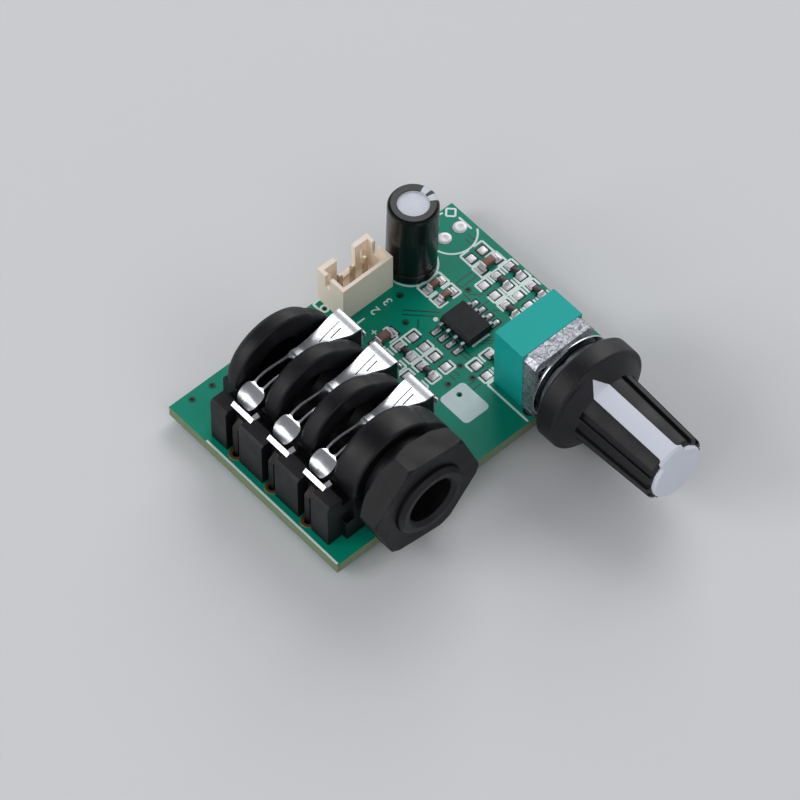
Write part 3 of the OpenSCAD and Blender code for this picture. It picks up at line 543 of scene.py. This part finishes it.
contactNames = ["sleeve", "ring", "tip"]
resistors = ["resistor_%d" % k for k in range(1, 8)]
ceramics = ["chip_capacitor_%d" % k for k in range(1, 5)]
finishNodes = {
    "boardMask": ["circuit_board"], "endCapTin": ["spare_pads"], "solderJoint": ["spare_solder", "solder_joints"],
    "jackBlack": ["jack_housing"], "nutBlack": ["jack_nut"],
    "stripTin": [name + part for name in contactNames for part in ("_blade", "_terminal")],
    "fixedTinPaintedShade": [name + "_switch" for name in contactNames],
    "creamNylon": ["header_housing"], "pinTin": ["header_pins", "capacitor_leads", "pot_terminals"],
    "canTop": ["capacitor_can"], "sleeveFilm": ["capacitor_sleeve"], "rubber": ["capacitor_bung"],
    "potTeal": ["pot_housing"], "zincSpangle": ["pot_front_plate"], "trackBrown": ["pot_track"], "rotorBlack": ["pot_rotor"],
    "washerBright": ["pot_washer"], "nutSteelPaintedShade": ["pot_nut"], "shaftAluminium": ["pot_shaft"], "wiperBronze": ["pot_wiper"],
    "knobBlack": ["knob_body"], "knobWhite": ["knob_insert"], "chipBlack": ["ic_body"], "leadSteel": ["ic_leads"],
    "resistorBlack": resistors, "ceramicBrown": ceramics,
}
insertRim = {"width": 0.3, "segments": 3, "fromAngle": 50}  # the moulded insert has no sharp rim
softEdge = nodes["knob_insert"].modifiers.new("softEdge", "BEVEL")
softEdge.limit_method = "ANGLE"
softEdge.angle_limit = math.radians(insertRim["fromAngle"])
softEdge.width = insertRim["width"] * mm
softEdge.segments = insertRim["segments"]
for finish, names in finishNodes.items():
    for node in names:
        cover(nodes[node], finish)
print("finishes on the CAD nodes")

strip = {
    "thickness": 0.26,
    # x, z, half width, crown
    "rows": [(20.72, -2.6, 0.65, 0), (20.72, 1.2, 0.65, 0), (20.72, 2.4, 1.9, 0), (20.72, 5.0, 1.95, 0), (20.72, 7.9, 1.95, 0),
             (20.68, 8.24, 1.95, 0), (20.52, 8.45, 1.95, 0), (20.25, 8.56, 1.95, 0), (19.5, 8.52, 1.95, 0),
             (19.15, 8.52, 1.93, 0), (18.4, 8.66, 1.77, 0.02), (17.4, 8.86, 1.45, 0.05), (16.2, 9.04, 1.12, 0.09),
             (15.2, 9.12, 0.98, 0.1), (14.4, 9.08, 0.93, 0.08), (13.6, 8.96, 0.9, 0.04), (13.0, 8.88, 0.9, 0),
             (12.1, 9.12, 0.9, 0), (11.8, 9.12, 0.9, 0), (11.5, 8.82, 0.9, 0), (11.2, 8.66, 0.9, 0), (9.8, 8.8, 0.9, 0),
             (8.4, 8.94, 0.9, 0), (7.5, 8.86, 0.9, 0), (6.9, 8.7, 0.9, 0), (6.4, 8.5, 0.88, 0), (6.2, 8.4, 0.86, 0),
             (6.08, 8.3, 0.9, 0.02), (5.96, 8.14, 1.36, 0.06), (5.6, 7.97, 1.54, 0.12), (5.2, 7.78, 1.58, 0.18),
             (4.8, 7.58, 1.58, 0.22), (4.45, 7.36, 1.54, 0.22), (4.1, 7.04, 1.42, 0.18), (3.82, 6.76, 1.2, 0.12),
             (3.64, 6.56, 0.9, 0.06)],
    # start, end and width of each slit; near end, far end and half width of the fork's slot, its corners a share of that
    "slits": [((19.2, 0.55), (15.2, -0.45), 0.1), ((18.7, -0.35), (16.6, -0.86), 0.14)], "slitReach": (7.5, 10),
    "slot": (6.12, 11.5, 0.64), "slotReach": (7.2, 10.5), "slotCorner": 0.8,
    "ear": {"x": (20.58, 20.84), "z": (7.0, 7.7), "aside": 1.8, "half": 0.2, "bevel": 0.05, "stretch": 0.35},
    "y": {"sleeve": 8.025, "ring": 14.375, "tip": 20.725},
    "nearby": 2e-3,  # points closer than this to a place count as lying there
}


def placePoints(piece, x, z, now, wanted, lift, y):  # one row's points: spread to their width, lifted to the crown
    nearby = strip["nearby"]
    choosePoints(piece, lambda p: abs(p.x - x) < nearby and abs(p.z - z) < nearby and abs(abs(p.y - y) - now) < nearby)
    if now:
        bpy.ops.transform.resize(value=(1, wanted / now, 1), center_override=at(x, y, z))
    if lift:
        moveChosen(0, 0, lift)


def makeStrip(y):  # one contact: a row of points extruded along the rows, thickened, slit and slotted
    rows, nearby = strip["rows"], strip["nearby"]
    clearSelection()
    bpy.ops.mesh.primitive_grid_add(x_subdivisions=4, y_subdivisions=1, size=2 * mm, location=at(0, y))
    piece = settle("contactStrip")
    editPiece(piece)
    choosePoints(piece, lambda p: p.y > y)
    bpy.ops.mesh.delete(type="VERT")
    bpy.ops.mesh.select_all(action="SELECT")
    bpy.ops.transform.rotate(value=math.radians(90), orient_axis="Z", center_override=at(0, y - 1))
    moveChosen(rows[0][0], 1, rows[0][1])
    for (oldX, oldZ, *_), (x, z, *_) in zip(rows, rows[1:]):
        choosePoints(piece, lambda p: abs(p.x - oldX) < nearby and abs(p.z - oldZ) < nearby)
        bpy.ops.mesh.extrude_region_move(TRANSFORM_OT_translate={"value": ((x - oldX) * mm, 0, (z - oldZ) * mm)})
    for x, z, half, crown in rows:
        for now, wanted, lift in ((1.0, half, 0), (0.5, half * 0.5, crown * 0.75), (0.0, 0.0, crown)):
            placePoints(piece, x, z, now, wanted, lift, y)
    outwards(piece)
    applyModifier(piece, "SUBSURF", levels=2, render_levels=2)
    applyModifier(piece, "SOLIDIFY", thickness=strip["thickness"] * mm, offset=-1)
    outwards(piece)
    for start, end, width in strip["slits"]:
        cutWith(piece, addBar((start[0], y + start[1]), (end[0], y + end[1]), width, *strip["slitReach"]))
    (near, far, half), (low, high) = strip["slot"], strip["slotReach"]
    slot = addBlock("slot", (near, y - half, low), (far, y + half, high))
    bevelEdges(slot, upright, half * strip["slotCorner"], 4)
    cutWith(piece, slot)
    ear, ears = strip["ear"], []
    (near, far), (low, high) = ear["x"], ear["z"]
    for side in (-1, 1):
        place = y + side * ear["aside"]
        tab = addBlock("ear", (near, place - ear["half"], low), (far, place + ear["half"], high), ear["bevel"])
        movePoints(tab, lambda p: (p.y - place) * side > 0.05, (0, side * ear["stretch"], 0))
        ears.append(tab)
    piece = joinPieces("contactStrip", [piece] + ears)
    smooth(piece, 40)
    return piece


firstStrip = makeStrip(strip["y"]["sleeve"])
for name, y in strip["y"].items():
    contact = copyPiece(firstStrip, name + "Contact", (0, y - strip["y"]["sleeve"], 0))
    cover(contact, "stripTin")
    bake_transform(contact)
    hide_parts(name + "_blade", name + "_terminal")
removePiece(firstStrip)

# the fixed contacts' lips lie over the posts' inner edge, each with a short arm
lip = {"x": (2.36, 2.88), "z": (7.3, 7.8), "deep": 3.55, "shift": -0.38, "drop": 0.4,
       "arm": 1.45, "armDeep": 0.5, "armBelow": 0.03, "armDrop": 0.32}
lips = []
(near, far), (under, top) = lip["x"], lip["z"]
for name in contactNames:
    front = boxOf(name + "_switch")[1].y - lip["deep"] + lip["shift"]
    bar = addBlock("lip", (near, front, under), (far, front + lip["deep"], top))
    movePoints(bar, lambda p: p.x < near + 0.01 and p.z > under + 0.1, (0, 0, -lip["drop"]))
    arm = addBlock("arm", (far - 0.1, front, under), (near + lip["arm"], front + lip["armDeep"], top - lip["armBelow"]))
    movePoints(arm, lambda p: p.y < front + 0.01 and p.z > under + 0.1, (0, 0, -lip["armDrop"]))
    lips += [bar, arm]
dress(joinPieces("contactLips", lips), "stripTin")
print("contact strips ready")

pads = {
    "high": 0.1, "corner": 0.16, "gap": 0.2, "gapHigh": 0.006, "gapCorner": 0.12,
    "rise": 0.55,  # share of the height at the pad's rim; the dome adds the rest
    "shoulder": 0.15,  # share of the width that the dome's slope takes
    "size": (1.08, 1.02),
    "empty": [(41.1, 22.22), (42.95, 22.22), (30.95, 10.14), (30.95, 8.26), (39.55, 18.25), (39.55, 16.3), (28.2, 18.25),
              (28.2, 16.3), (41.6, 14.4), (41.6, 12.45), (28.2, 14.4), (28.2, 12.45), (23.9, 14.4), (23.9, 12.45)],
    "underLeads": {"size": (1.3, 0.6), "high": 0.15, "out": 2.95, "pitch": 1.27},
}


def makePad(name, x, wide, deep, high):  # a tinned pad with round corners and a low dome of solder
    piece = addBlock(name, (x - wide / 2, -deep / 2, 0), (x + wide / 2, deep / 2, high * pads["rise"]))
    bevelEdges(piece, upright, pads["corner"], 3)
    stepFaces(piece, upFaces, [(min(wide, deep) * pads["shoulder"], (0, 0, high * (1 - pads["rise"])))])
    smooth(piece, 70)
    return piece


emptyPads = spread(makePad("emptyPad", 0, *pads["size"], pads["high"]), "emptyPads", pads["empty"])
smooth(emptyPads, 70)
dress(emptyPads, "endCapTin")
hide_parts("spare_pads")
gapPlaces = [place + pads["size"] for place in pads["empty"]]  # middle and size of every pad, for the dark line round it

feet = pads["underLeads"]
chip = placeOf("ic_body")[0]
feetPlaces = [(chip.x + side * feet["out"], chip.y + row * feet["pitch"])
              for side in (-1, 1) for row in (-1.5, -0.5, 0.5, 1.5)]
footPads = spread(makePad("leadPad", 0, *feet["size"], feet["high"]), "footPads", feetPlaces)
smooth(footPads, 70)
dress(footPads, "endCapTin")
gapPlaces += [place + feet["size"] for place in feetPlaces]

chips = {
    "seat": 0.05,  # how far a chip stands off the board
    "body": {"overlap": 0.06, "foot": 0.02, "below": 0.03, "bevel": 0.035, "margin": 0.09, "crown": 0.018},
    "cap": {"foot": 0.03, "bevel": 0.06},
    # the solder at each end: from just inside the cap outwards, its top falling to the toe as a power, its middle pressed down
    "fillet": {"inside": 0.06, "reach": 0.36, "foot": 0.04, "narrower": 0.01, "climb": 0.8, "toe": 0.09, "power": 1.8,
               "press": 0.4, "pressTo": 0.05},
    "kinds": [{"nodes": resistors, "size": (1.6, 0.8, 0.45), "pad": (1.02, 1.1), "apart": 0.99, "capShare": 0.18,
               "finish": "resistorBlack", "slot": "resistor"},
              {"nodes": ceramics[:2], "size": (1.6, 0.8, 0.65), "pad": (1.02, 1.08), "apart": 1.05, "capShare": 0.13,
               "finish": "ceramicBrown", "slot": "ceramic"},
              {"nodes": ceramics[2:], "size": (2.0, 1.0, 0.81), "pad": (1.1, 1.3), "apart": 1.25, "capShare": 0.12,
               "finish": "ceramicBrown", "slot": "ceramic"}],
}


def makeChipBody(look):  # the dark middle of a chip, lying along X at the board's corner
    length, width, high = look["size"]
    body = chips["body"]
    below = body["below"]
    half = length * (0.5 - look["capShare"]) + body["overlap"]
    piece = addBlock("chipBody", (-half, -width / 2 + below, chips["seat"] + body["foot"]),
                     (half, width / 2 - below, chips["seat"] + high - below), body["bevel"])
    stepFaces(piece, upFaces, [(body["margin"], (0, 0, body["crown"]))])
    smooth(piece, 50)
    return piece


def makeChipEnds(look):  # both end caps with their pads and the solder that climbs them
    length, width, high = look["size"]
    cap, fillet = chips["cap"], chips["fillet"]
    top = chips["seat"] + high
    climb = top * fillet["climb"]
    closeBy = 5e-3
    pieces = []
    for side in (-1, 1):
        end, inner = side * length / 2, side * length * (0.5 - look["capShare"])
        pieces.append(addBlock("cap", (min(inner, end), -width / 2, cap["foot"]), (max(inner, end), width / 2, top),
                               cap["bevel"], 3))
        start, stop = end - side * fillet["inside"], end + side * fillet["reach"]
        half = width / 2 - fillet["narrower"]
        solder = addBlock("fillet", (min(start, stop), -half, fillet["foot"]), (max(start, stop), half, climb))
        editAll(solder)
        bpy.ops.mesh.subdivide(number_cuts=2)
        for share in (1 / 3, 2 / 3, 1):
            x = start + (stop - start) * share
            choosePoints(solder, lambda p: abs(p.x - x) < closeBy and p.z > climb - closeBy)
            moveChosen(0, 0, -(climb - fillet["toe"]) * (1 - (1 - share) ** fillet["power"]))
            choosePoints(solder, lambda p: abs(p.x - x) < closeBy and fillet["pressTo"] + 0.01 < p.z < climb - 0.01 * top)
            bpy.ops.transform.resize(value=(1, 1, fillet["press"]), center_override=at(x, 0, fillet["pressTo"]))
        leaveEdit()
        pieces += [solder, makePad("pad", side * look["apart"], *look["pad"], pads["high"])]
    piece = joinPieces("chipEnds", pieces)
    smooth(piece, 60)
    return piece


for look in chips["kinds"]:
    firstBody, firstEnds = makeChipBody(look), makeChipEnds(look)
    for node in look["nodes"]:
        place, size = placeOf(node)
        turn = 90 if size.y > size.x else 0
        body = copyPiece(firstBody, node + "Body", (place.x, place.y, 0), turn)
        dress(body, look["finish"])
        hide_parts(node)
        ends = copyPiece(firstEnds, node + "Ends", (place.x, place.y, 0), turn)
        dress(ends, "endCapTin")
        for step in (-look["apart"], look["apart"]):
            along, across = look["pad"]
            gapPlaces.append((place.x, place.y + step, across, along) if turn else (place.x + step, place.y, along, across))
    removePiece(firstBody)
    removePiece(firstEnds)
print("chips, pads and solder ready")

gaps = []
for x, y, wide, deep in gapPlaces:
    halfX, halfY = wide / 2 + pads["gap"], deep / 2 + pads["gap"]
    gaps.append(addBlock("gap", (x - halfX, y - halfY, sunk), (x + halfX, y + halfY, pads["gapHigh"])))
padGaps = joinPieces("padGaps", gaps)
bevelEdges(padGaps, upright, pads["gapCorner"], 2)
dress(padGaps, "bareGap")

spareDomes = {
    "places": [(40.75, 26.6), (43.25, 26.6)], "ring": 0.9, "hole": 0.5, "high": 0.06,
    "crown": [(0.1, 0.06), (0.2, 0.04), (0.25, -0.01), (0.2, -0.03)],  # how far in and up each step of the top goes
    "below": [(1, 1.6), (1.7, 0), (0.8, 0.2), (0.5, 0.12)],  # size and drop of each step through the hole
}
domes = []
for x, y in spareDomes["places"]:
    dome = addRod("dome", (x, y, spareDomes["high"] / 2), spareDomes["ring"], spareDomes["high"], 48)
    stepFaces(dome, upFaces, [(inset, (0, 0, lift)) for inset, lift in spareDomes["crown"]])
    editPiece(dome)
    chooseFaces(dome, lambda normal: normal.z < -0.99)
    for scale, drop in [(spareDomes["hole"] / spareDomes["ring"], 0)] + spareDomes["below"]:
        bpy.ops.mesh.extrude_region_move(TRANSFORM_OT_translate={"value": (0, 0, -drop * mm)})
        bpy.ops.transform.resize(value=(scale, scale, 1), center_override=at(x, y))
    leaveEdit()
    domes.append(dome)
domes = joinPieces("spareDomes", domes)
outwards(domes)
smooth(domes, 50)
dress(domes, "endCapTin")
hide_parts("spare_solder")

vias = {
    "places": [(31.1, 23.9), (26.7, 10.44), (5.8, 28.9), (2.7, 28.95),
               (29.55, 11.47), (37.75, 19.07), (28.95, 20.49), (29.5, 9.17)],
    "ring": {"inner": 0.26, "outer": 0.46, "high": 0.015},
    "plug": {"radius": 0.25, "depth": 0.2, "z": -0.16, "rim": 0.08, "dip": -0.05},
}
rings = spread(addRing("viaRing", 0, 0, sides=24, **vias["ring"]), "viaRings", vias["places"])
smooth(rings, 35)
dress(rings, "viaMask")
plug, plugs = vias["plug"], []
for x, y in vias["places"]:
    stopper = addRod("plug", (x, y, plug["z"]), plug["radius"], plug["depth"], 20)
    stepFaces(stopper, upFaces, [(plug["rim"], (0, 0, plug["dip"]))])
    plugs.append(stopper)
dress(joinPieces("viaPlugs", plugs), "bareGap")

legRings = {"x": 1.6, "rows": [6.925, 13.275, 19.625], "inner": 0.56, "outer": 1.0, "high": 0.09, "bevel": 0.07}
firstRing = addRing("legRing", 0, 0, legRings["inner"], legRings["outer"], legRings["high"], 32)
bevelEdges(firstRing, lambda place, run: place.z > legRings["high"] - 1e-3 and place.xy.length > legRings["outer"] - 0.03,
           legRings["bevel"], 3)
rings = spread(firstRing, "legRings", [(legRings["x"], y) for y in legRings["rows"]])
smooth(rings, 50)
dress(rings, "ringCopper")

traces = {
    "width": 0.2, "high": 0.004, "step": 0.0002,  # each line lies a step above the last, so that none coincide
    "lines": [((29.9, 22.1), (33.0, 18.85)), ((29.45, 21.6), (32.35, 18.6)), ((37.4, 20.75), (39.9, 20.75)),
              ((37.5, 19.85), (39.9, 19.85)), ((37.4, 20.75), (37.2, 20.3)), ((37.2, 20.3), (37.5, 19.85)),
              ((42.6, 24.9), (42.6, 23.8)), ((43.3, 25.3), (43.3, 23.8)), ((36.95, 18.9), (36.95, 17.7)),
              ((37.3, 18.6), (38.6, 17.3)), ((30.85, 12.9), (30.85, 11.5)), ((31.45, 12.9), (31.45, 11.5)),
              ((33.2, 12.5), (34.6, 11.3)), ((33.9, 12.5), (35.2, 11.4)), ((34.6, 12.5), (35.8, 11.5)),
              ((27.75, 11.3), (27.75, 10.3)), ((28.55, 11.3), (28.55, 10.4)), ((37.5, 16.2), (38.5, 16.2)),
              ((37.8, 14.9), (38.5, 14.3)), ((28.4, 8.7), (29.6, 8.7)), ((28.3, 7.9), (29.6, 7.9)),
              ((30.4, 19.8), (29.4, 18.8))],
}


def makeBars(lines, width, high, step, cycle=100):  # a bar along each line, each a step higher until the cycle is over
    return [addBar(start, end, width, sunk, high + step * (k % cycle)) for k, (start, end) in enumerate(lines)]


lines = makeBars(traces["lines"], traces["width"], traces["high"], traces["step"])
dress(joinPieces("traceLines", lines), "traceShade")

boardPrint = {
    "width": 0.28, "high": 0.016, "step": 0.0012, "cycle": 7, "corner": 0.07,
    "joinHigh": 0.025, "joinStep": 0.0006, "markHigh": 0.014,
    # left, right, front and rear side of each outlined cell, and how far its corners reach along Y
    "cellsAlongY": [(25.28, 26.85, 15.6, 19.12), (27.42, 29.12, 15.6, 19.12), (25.28, 26.85, 11.7, 15.28),
                    (27.42, 29.12, 11.7, 15.28), (38.78, 40.5, 15.5, 19.0), (40.87, 42.56, 15.5, 19.0),
                    (43.0, 44.72, 15.5, 19.0), (38.78, 40.5, 11.55, 15.1), (40.87, 42.56, 11.55, 15.1),
                    (43.0, 44.72, 11.55, 15.1), (30.08, 31.78, 7.54, 11.12), (32.2, 33.95, 7.54, 11.12)],
    "cornerAlongY": 1.26,
    # the same for chips that lie along X
    "cellsAlongX": [(33.4, 36.9, 21.45, 23.38), (33.4, 36.9, 19.34, 21.2),
                    (40.35, 43.9, 21.25, 23.36), (40.2, 44.1, 19.2, 21.1)],
    "cornerAlongX": 1.4,
    "lines": [((26.87, 21.45), (26.87, 19.5)), ((26.2, 21.45), (26.87, 21.45)), ((25.5, 19.5), (26.87, 19.5)),
              ((24.3, 19.5), (24.8, 19.5)), ((24.73, 19.12), (24.73, 17.86)), ((24.73, 16.86), (24.73, 15.6)),
              ((24.73, 15.28), (24.73, 14.02)), ((24.73, 12.96), (24.73, 11.7)), ((23.0, 19.12), (24.73, 19.12)),
              ((23.0, 15.6), (24.73, 15.6)), ((23.0, 15.28), (24.73, 15.28)), ((23.0, 11.7), (24.73, 11.7)),
              ((32.5, 12.55), (35.3, 12.55)), ((32.5, 17.75), (35.3, 17.75)), ((30.15, 7.27), (30.15, 0.2)),
              ((30.15, 7.27), (41.25, 7.27)), ((41.25, 7.27), (41.25, 0.2)), ((0.16, 0.15), (0.16, 23.4)),
              ((44.18, 27.8), (44.18, 25.5)), ((22.5, 29.85), (23.5, 29.85)), ((22.5, 29.85), (22.5, 25.2))],
    "joins": [((25.28, 15.44), (29.12, 15.44)), ((38.78, 15.3), (44.72, 15.3)), ((38.78, 19.0), (44.72, 19.0)),
              ((25.28, 19.12), (29.12, 19.12))],
    "circles": [(35.2, 26.5, 3.3), (41.95, 26.65, 3.16)], "circleHalf": 0.13,
    "circleEnd": (44.9, 29.95), "diamondRoom": 0.95,  # the circles stop short of the board's edges and of the diamond
    "dot": {"x": 31.95, "y": 18.42, "z": 0.003, "radius": 0.32, "thick": 0.03, "rim": 0.05, "crown": 0.004},
    "whiteRing": (23.1, 28.45, 0.34, 0.62),
    "digits": [("1", 25.2, 24.2), ("2", 27.45, 24.2), ("3", 29.45, 24.2)],
    "digit": {"size": 1.7, "z": 0.004, "extrude": 0.012, "offset": 0.02},
    "plus": (25.2, 21.9, 0.75), "plusWidth": 0.17, "plusStep": 0.002,
    "diamond": (43.95, 29.0, 0.56), "diamondWidth": 0.26, "diamondStep": 0.001,
    "box": (24.4, 4.7, 28.3, 9.6), "boxCorner": 0.6, "boxHole": (26.7, 8.44, 0.36),
}


def cellLines(x0, x1, y0, y1, reach):  # outline of a chip place along Y, open at the middle of its long sides
    corners = [((x, a), (x, b)) for x in (x0, x1) for a, b in ((y0, y0 + reach), (y1 - reach, y1))]
    return [((x0, y0), (x1, y0)), ((x0, y1), (x1, y1))] + corners


outlines = []
for cell in boardPrint["cellsAlongY"]:
    outlines += cellLines(*cell, boardPrint["cornerAlongY"])
for x0, x1, y0, y1 in boardPrint["cellsAlongX"]:
    outlines += [(a[::-1], b[::-1]) for a, b in cellLines(y0, y1, x0, x1, boardPrint["cornerAlongX"])]
outlines += boardPrint["lines"]
bars = makeBars(outlines, boardPrint["width"], boardPrint["high"], boardPrint["step"], boardPrint["cycle"])
bars += makeBars(boardPrint["joins"], boardPrint["width"], boardPrint["joinHigh"], boardPrint["joinStep"])
outlinePrint = joinPieces("outlinePrint", bars)
bevelEdges(outlinePrint, upright, boardPrint["corner"], 2)
dress(outlinePrint, "printWhite")


def circleShows(point):
    right, rear = boardPrint["circleEnd"]
    fromDiamond = point.xy - Vector(boardPrint["diamond"][:2])
    return point.x < right and point.y < rear and fromDiamond.length > boardPrint["diamondRoom"]


high, half = boardPrint["markHigh"], boardPrint["circleHalf"]
marks = [addRing("circle", x, y, r - half, r + half, high, 96, circleShows) for x, y, r in boardPrint["circles"]]
dot = boardPrint["dot"]
spot = addRod("dot", (dot["x"], dot["y"], dot["z"]), dot["radius"], dot["thick"], 32)
stepFaces(spot, upFaces, [(dot["rim"], (0, 0, dot["crown"]))])
x, y, inner, outer = boardPrint["whiteRing"]
marks += [spot, addRing("whiteRing", x, y, inner, outer, high, 32)]
x, y, half = boardPrint["diamond"]
corners = [(x - half, y - half), (x + half, y - half), (x + half, y + half), (x - half, y + half)]
sides = zip(corners, corners[1:] + corners[:1])
diamond = joinPieces("diamond", makeBars(sides, boardPrint["diamondWidth"], boardPrint["high"], boardPrint["diamondStep"]))
editAll(diamond)
bpy.ops.transform.rotate(value=math.radians(45), orient_axis="Z", center_override=at(x, y))
leaveEdit()
marks.append(diamond)
x, y, long = boardPrint["plus"]
arms = [((x - long / 2, y), (x + long / 2, y)), ((x, y - long / 2), (x, y + long / 2))]
marks += makeBars(arms, boardPrint["plusWidth"], high, boardPrint["plusStep"])
digit = boardPrint["digit"]
for figure, x, y in boardPrint["digits"]:
    clearSelection()
    bpy.ops.object.text_add(location=at(x, y, digit["z"]), rotation=(0, 0, math.radians(90)))
    text = bpy.context.object.data
    text.body = figure
    text.size = digit["size"] * mm
    text.extrude = digit["extrude"] * mm
    text.offset = digit["offset"] * mm
    text.align_x = text.align_y = "CENTER"
    bpy.ops.object.convert(target="MESH")
    marks.append(settle("digit"))
dress(joinPieces("markPrint", marks), "printWhite")

x0, y0, x1, y1 = boardPrint["box"]
writeBox = addBlock("writeOnBox", (x0, y0, sunk), (x1, y1, boardPrint["markHigh"]))
bevelEdges(writeBox, upright, boardPrint["boxCorner"], 6)
x, y, radius = boardPrint["boxHole"]
cutWith(writeBox, addRod("viaClearance", (x, y), radius, 0.2, 32))
dress(writeBox, "writeBox")
print("board print ready")

rivet = {"x": 32.35, "z": 7.5, "floor": 1.02, "radius": 0.72, "high": 0.4,
         "edge": 0.1, "bulge": 0.08, "rim": 0.22, "hollow": 0.26}
place = (rivet["x"], rivet["floor"] - rivet["high"] / 2, rivet["z"])
head = addRod("plateRivet", place, rivet["radius"], rivet["high"], 40, True)
editPiece(head)
chooseFaces(head, frontFaces)
bpy.ops.mesh.inset(thickness=rivet["edge"] * mm)
moveChosen(0, -rivet["bulge"], 0)
bpy.ops.mesh.inset(thickness=rivet["rim"] * mm)
bpy.ops.mesh.extrude_region_move(TRANSFORM_OT_translate={"value": (0, rivet["hollow"] * mm, 0)})
leaveEdit()
smooth(head, 30)
dress(head, "solderJoint")

thinWasher = {"thickness": 0.27, "rim": 0.09, "hole": 3.55}  # a plain washer whose bright rim shows as a thin line
low, high = boxOf("pot_washer")
centre, thickness = (low + high) / 2, thinWasher["thickness"]
washer = addRod("thinWasher", (centre.x, low.y + thickness / 2, centre.z), (high.x - low.x) / 2, thickness, 128, True)
bevelEdges(washer, lambda place, run: abs(run.y) < 1e-6, thinWasher["rim"], 3)
cutWith(washer, addRod("washerHole", (centre.x, low.y, centre.z), thinWasher["hole"], 3, 64, True))
smooth(washer, 35)
dress(washer, "washerBright")
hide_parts("pot_washer")

# a dark wall just inside the jack's back closes the rear arch: painted shade, a dark sheet standing in for the shaded
# board seen through the arch's hole
rearShadeWall = {"axis": (11, 7), "radius": 5.2, "thickness": 0.7, "inset": 0.7, "rim": 1.6, "dish": 0.25}
(x, z), back = rearShadeWall["axis"], boxOf("jack_housing")[1].y - rearShadeWall["inset"]
wall = addRod("rearShadeWall", (x, back - rearShadeWall["thickness"] / 2, z), rearShadeWall["radius"], rearShadeWall["thickness"], 96, True)
stepFaces(wall, frontFaces, [(rearShadeWall["rim"], (0, rearShadeWall["dish"], 0))])
smooth(wall, 50)
dress(wall, "jackBlack")
print("small metal parts ready")

print("camera, lamps and floor")
studio = {
    "paper": (222, 223, 226), "ceiling": (72, 73, 77),
    "light": 0.28,  # how much the room itself lights the part
    "floorSize": 1.6, "floorBelow": 0.02,
    # place, size across and down, power
    "lamps": [("rightBackLamp", (0.56, 0.32, 0.47), 0.6, 0.54, 2.9), ("leftBackLamp", (-0.6, 0.337, 0.4), 0.4, 0.36, 1.8),
              ("leftLamp", (-0.62, -0.12, 0.46), 0.4, 0.36, 0.7), ("frontFillLamp", (-0.08, -0.6, 0.52), 0.6, 0.5, 1.0)],
}
paper = paint(*studio["paper"])
clearSelection()
bpy.ops.mesh.primitive_grid_add(x_subdivisions=8, y_subdivisions=8, size=studio["floorSize"],
                                location=(0, 0, -studio["floorBelow"] * mm))
ground = settle("studioFloor")
floorPaper, tree, shader = newMaterial("floorPaper")
feed(tree, shader, {"Base Color": paper, "Roughness": 0.8, "Specular IOR Level": 0.2})
ground.data.materials.append(floorPaper)

world = bpy.data.worlds.new("studioRoom")
bpy.context.scene.world = world
world.use_nodes = True
room = world.node_tree
roomLight = room.nodes["Background"]
feed(room, roomLight, {"Color": (0.95, 0.97, 1.0, 1.0), "Strength": studio["light"]})
rise = wire(room, "ShaderNodeSeparateXYZ", {"Vector": placeIn(room, "Generated")}).outputs["Z"]
height = wire(room, "ShaderNodeMapRange", {"Value": rise, "From Min": 0.15, "From Max": 0.6}, interpolation_type="SMOOTHSTEP")
walls = mixColours(room, height.outputs["Result"], paper, paint(*studio["ceiling"]))
seen = wire(room, "ShaderNodeBackground", {"Color": walls, "Strength": 1.0})
ray = wire(room, "ShaderNodeLightPath").outputs
cameraOrGlossy = calculate(room, "MAXIMUM", ray["Is Camera Ray"], ray["Is Glossy Ray"])
anySeen = calculate(room, "MAXIMUM", cameraOrGlossy, ray["Is Transmission Ray"])
choose = wire(room, "ShaderNodeMixShader", {"Fac": anySeen, 1: roomLight.outputs["Background"], 2: seen.outputs["Background"]})
feed(room, room.nodes["World Output"], {"Surface": choose.outputs["Shader"]})

view = {"middle": (20.959, 12.539), "azimuth": -41.836, "elevation": 55.264, "distance": 0.66514, "lens": 253.37}
middle = at(*view["middle"])
for name, place, wide, tall, power in studio["lamps"]:
    clearSelection()
    bpy.ops.object.light_add(type="AREA", location=place)
    lamp = bpy.context.object
    lamp.name = name
    lamp.data.shape = "RECTANGLE"
    lamp.data.size = wide
    lamp.data.size_y = tall
    lamp.data.energy = power
    lamp.rotation_euler = (middle - Vector(place)).to_track_quat("-Z", "Y").to_euler()

turn, rise = math.radians(view["azimuth"]), math.radians(view["elevation"])
back = Vector((math.sin(turn) * math.cos(rise), -math.cos(turn) * math.cos(rise), math.sin(rise)))
clearSelection()
bpy.ops.object.camera_add(location=middle + back * view["distance"])
camera = bpy.context.object
camera.name = "photoCamera"
camera.rotation_euler = back.to_track_quat("Z", "Y").to_euler()
camera.data.sensor_width = 36
camera.data.lens = view["lens"]
camera.data.clip_start = 0.01
camera.data.clip_end = 10
bpy.context.scene.camera = camera
bpy.context.scene.view_settings.view_transform = "Standard"
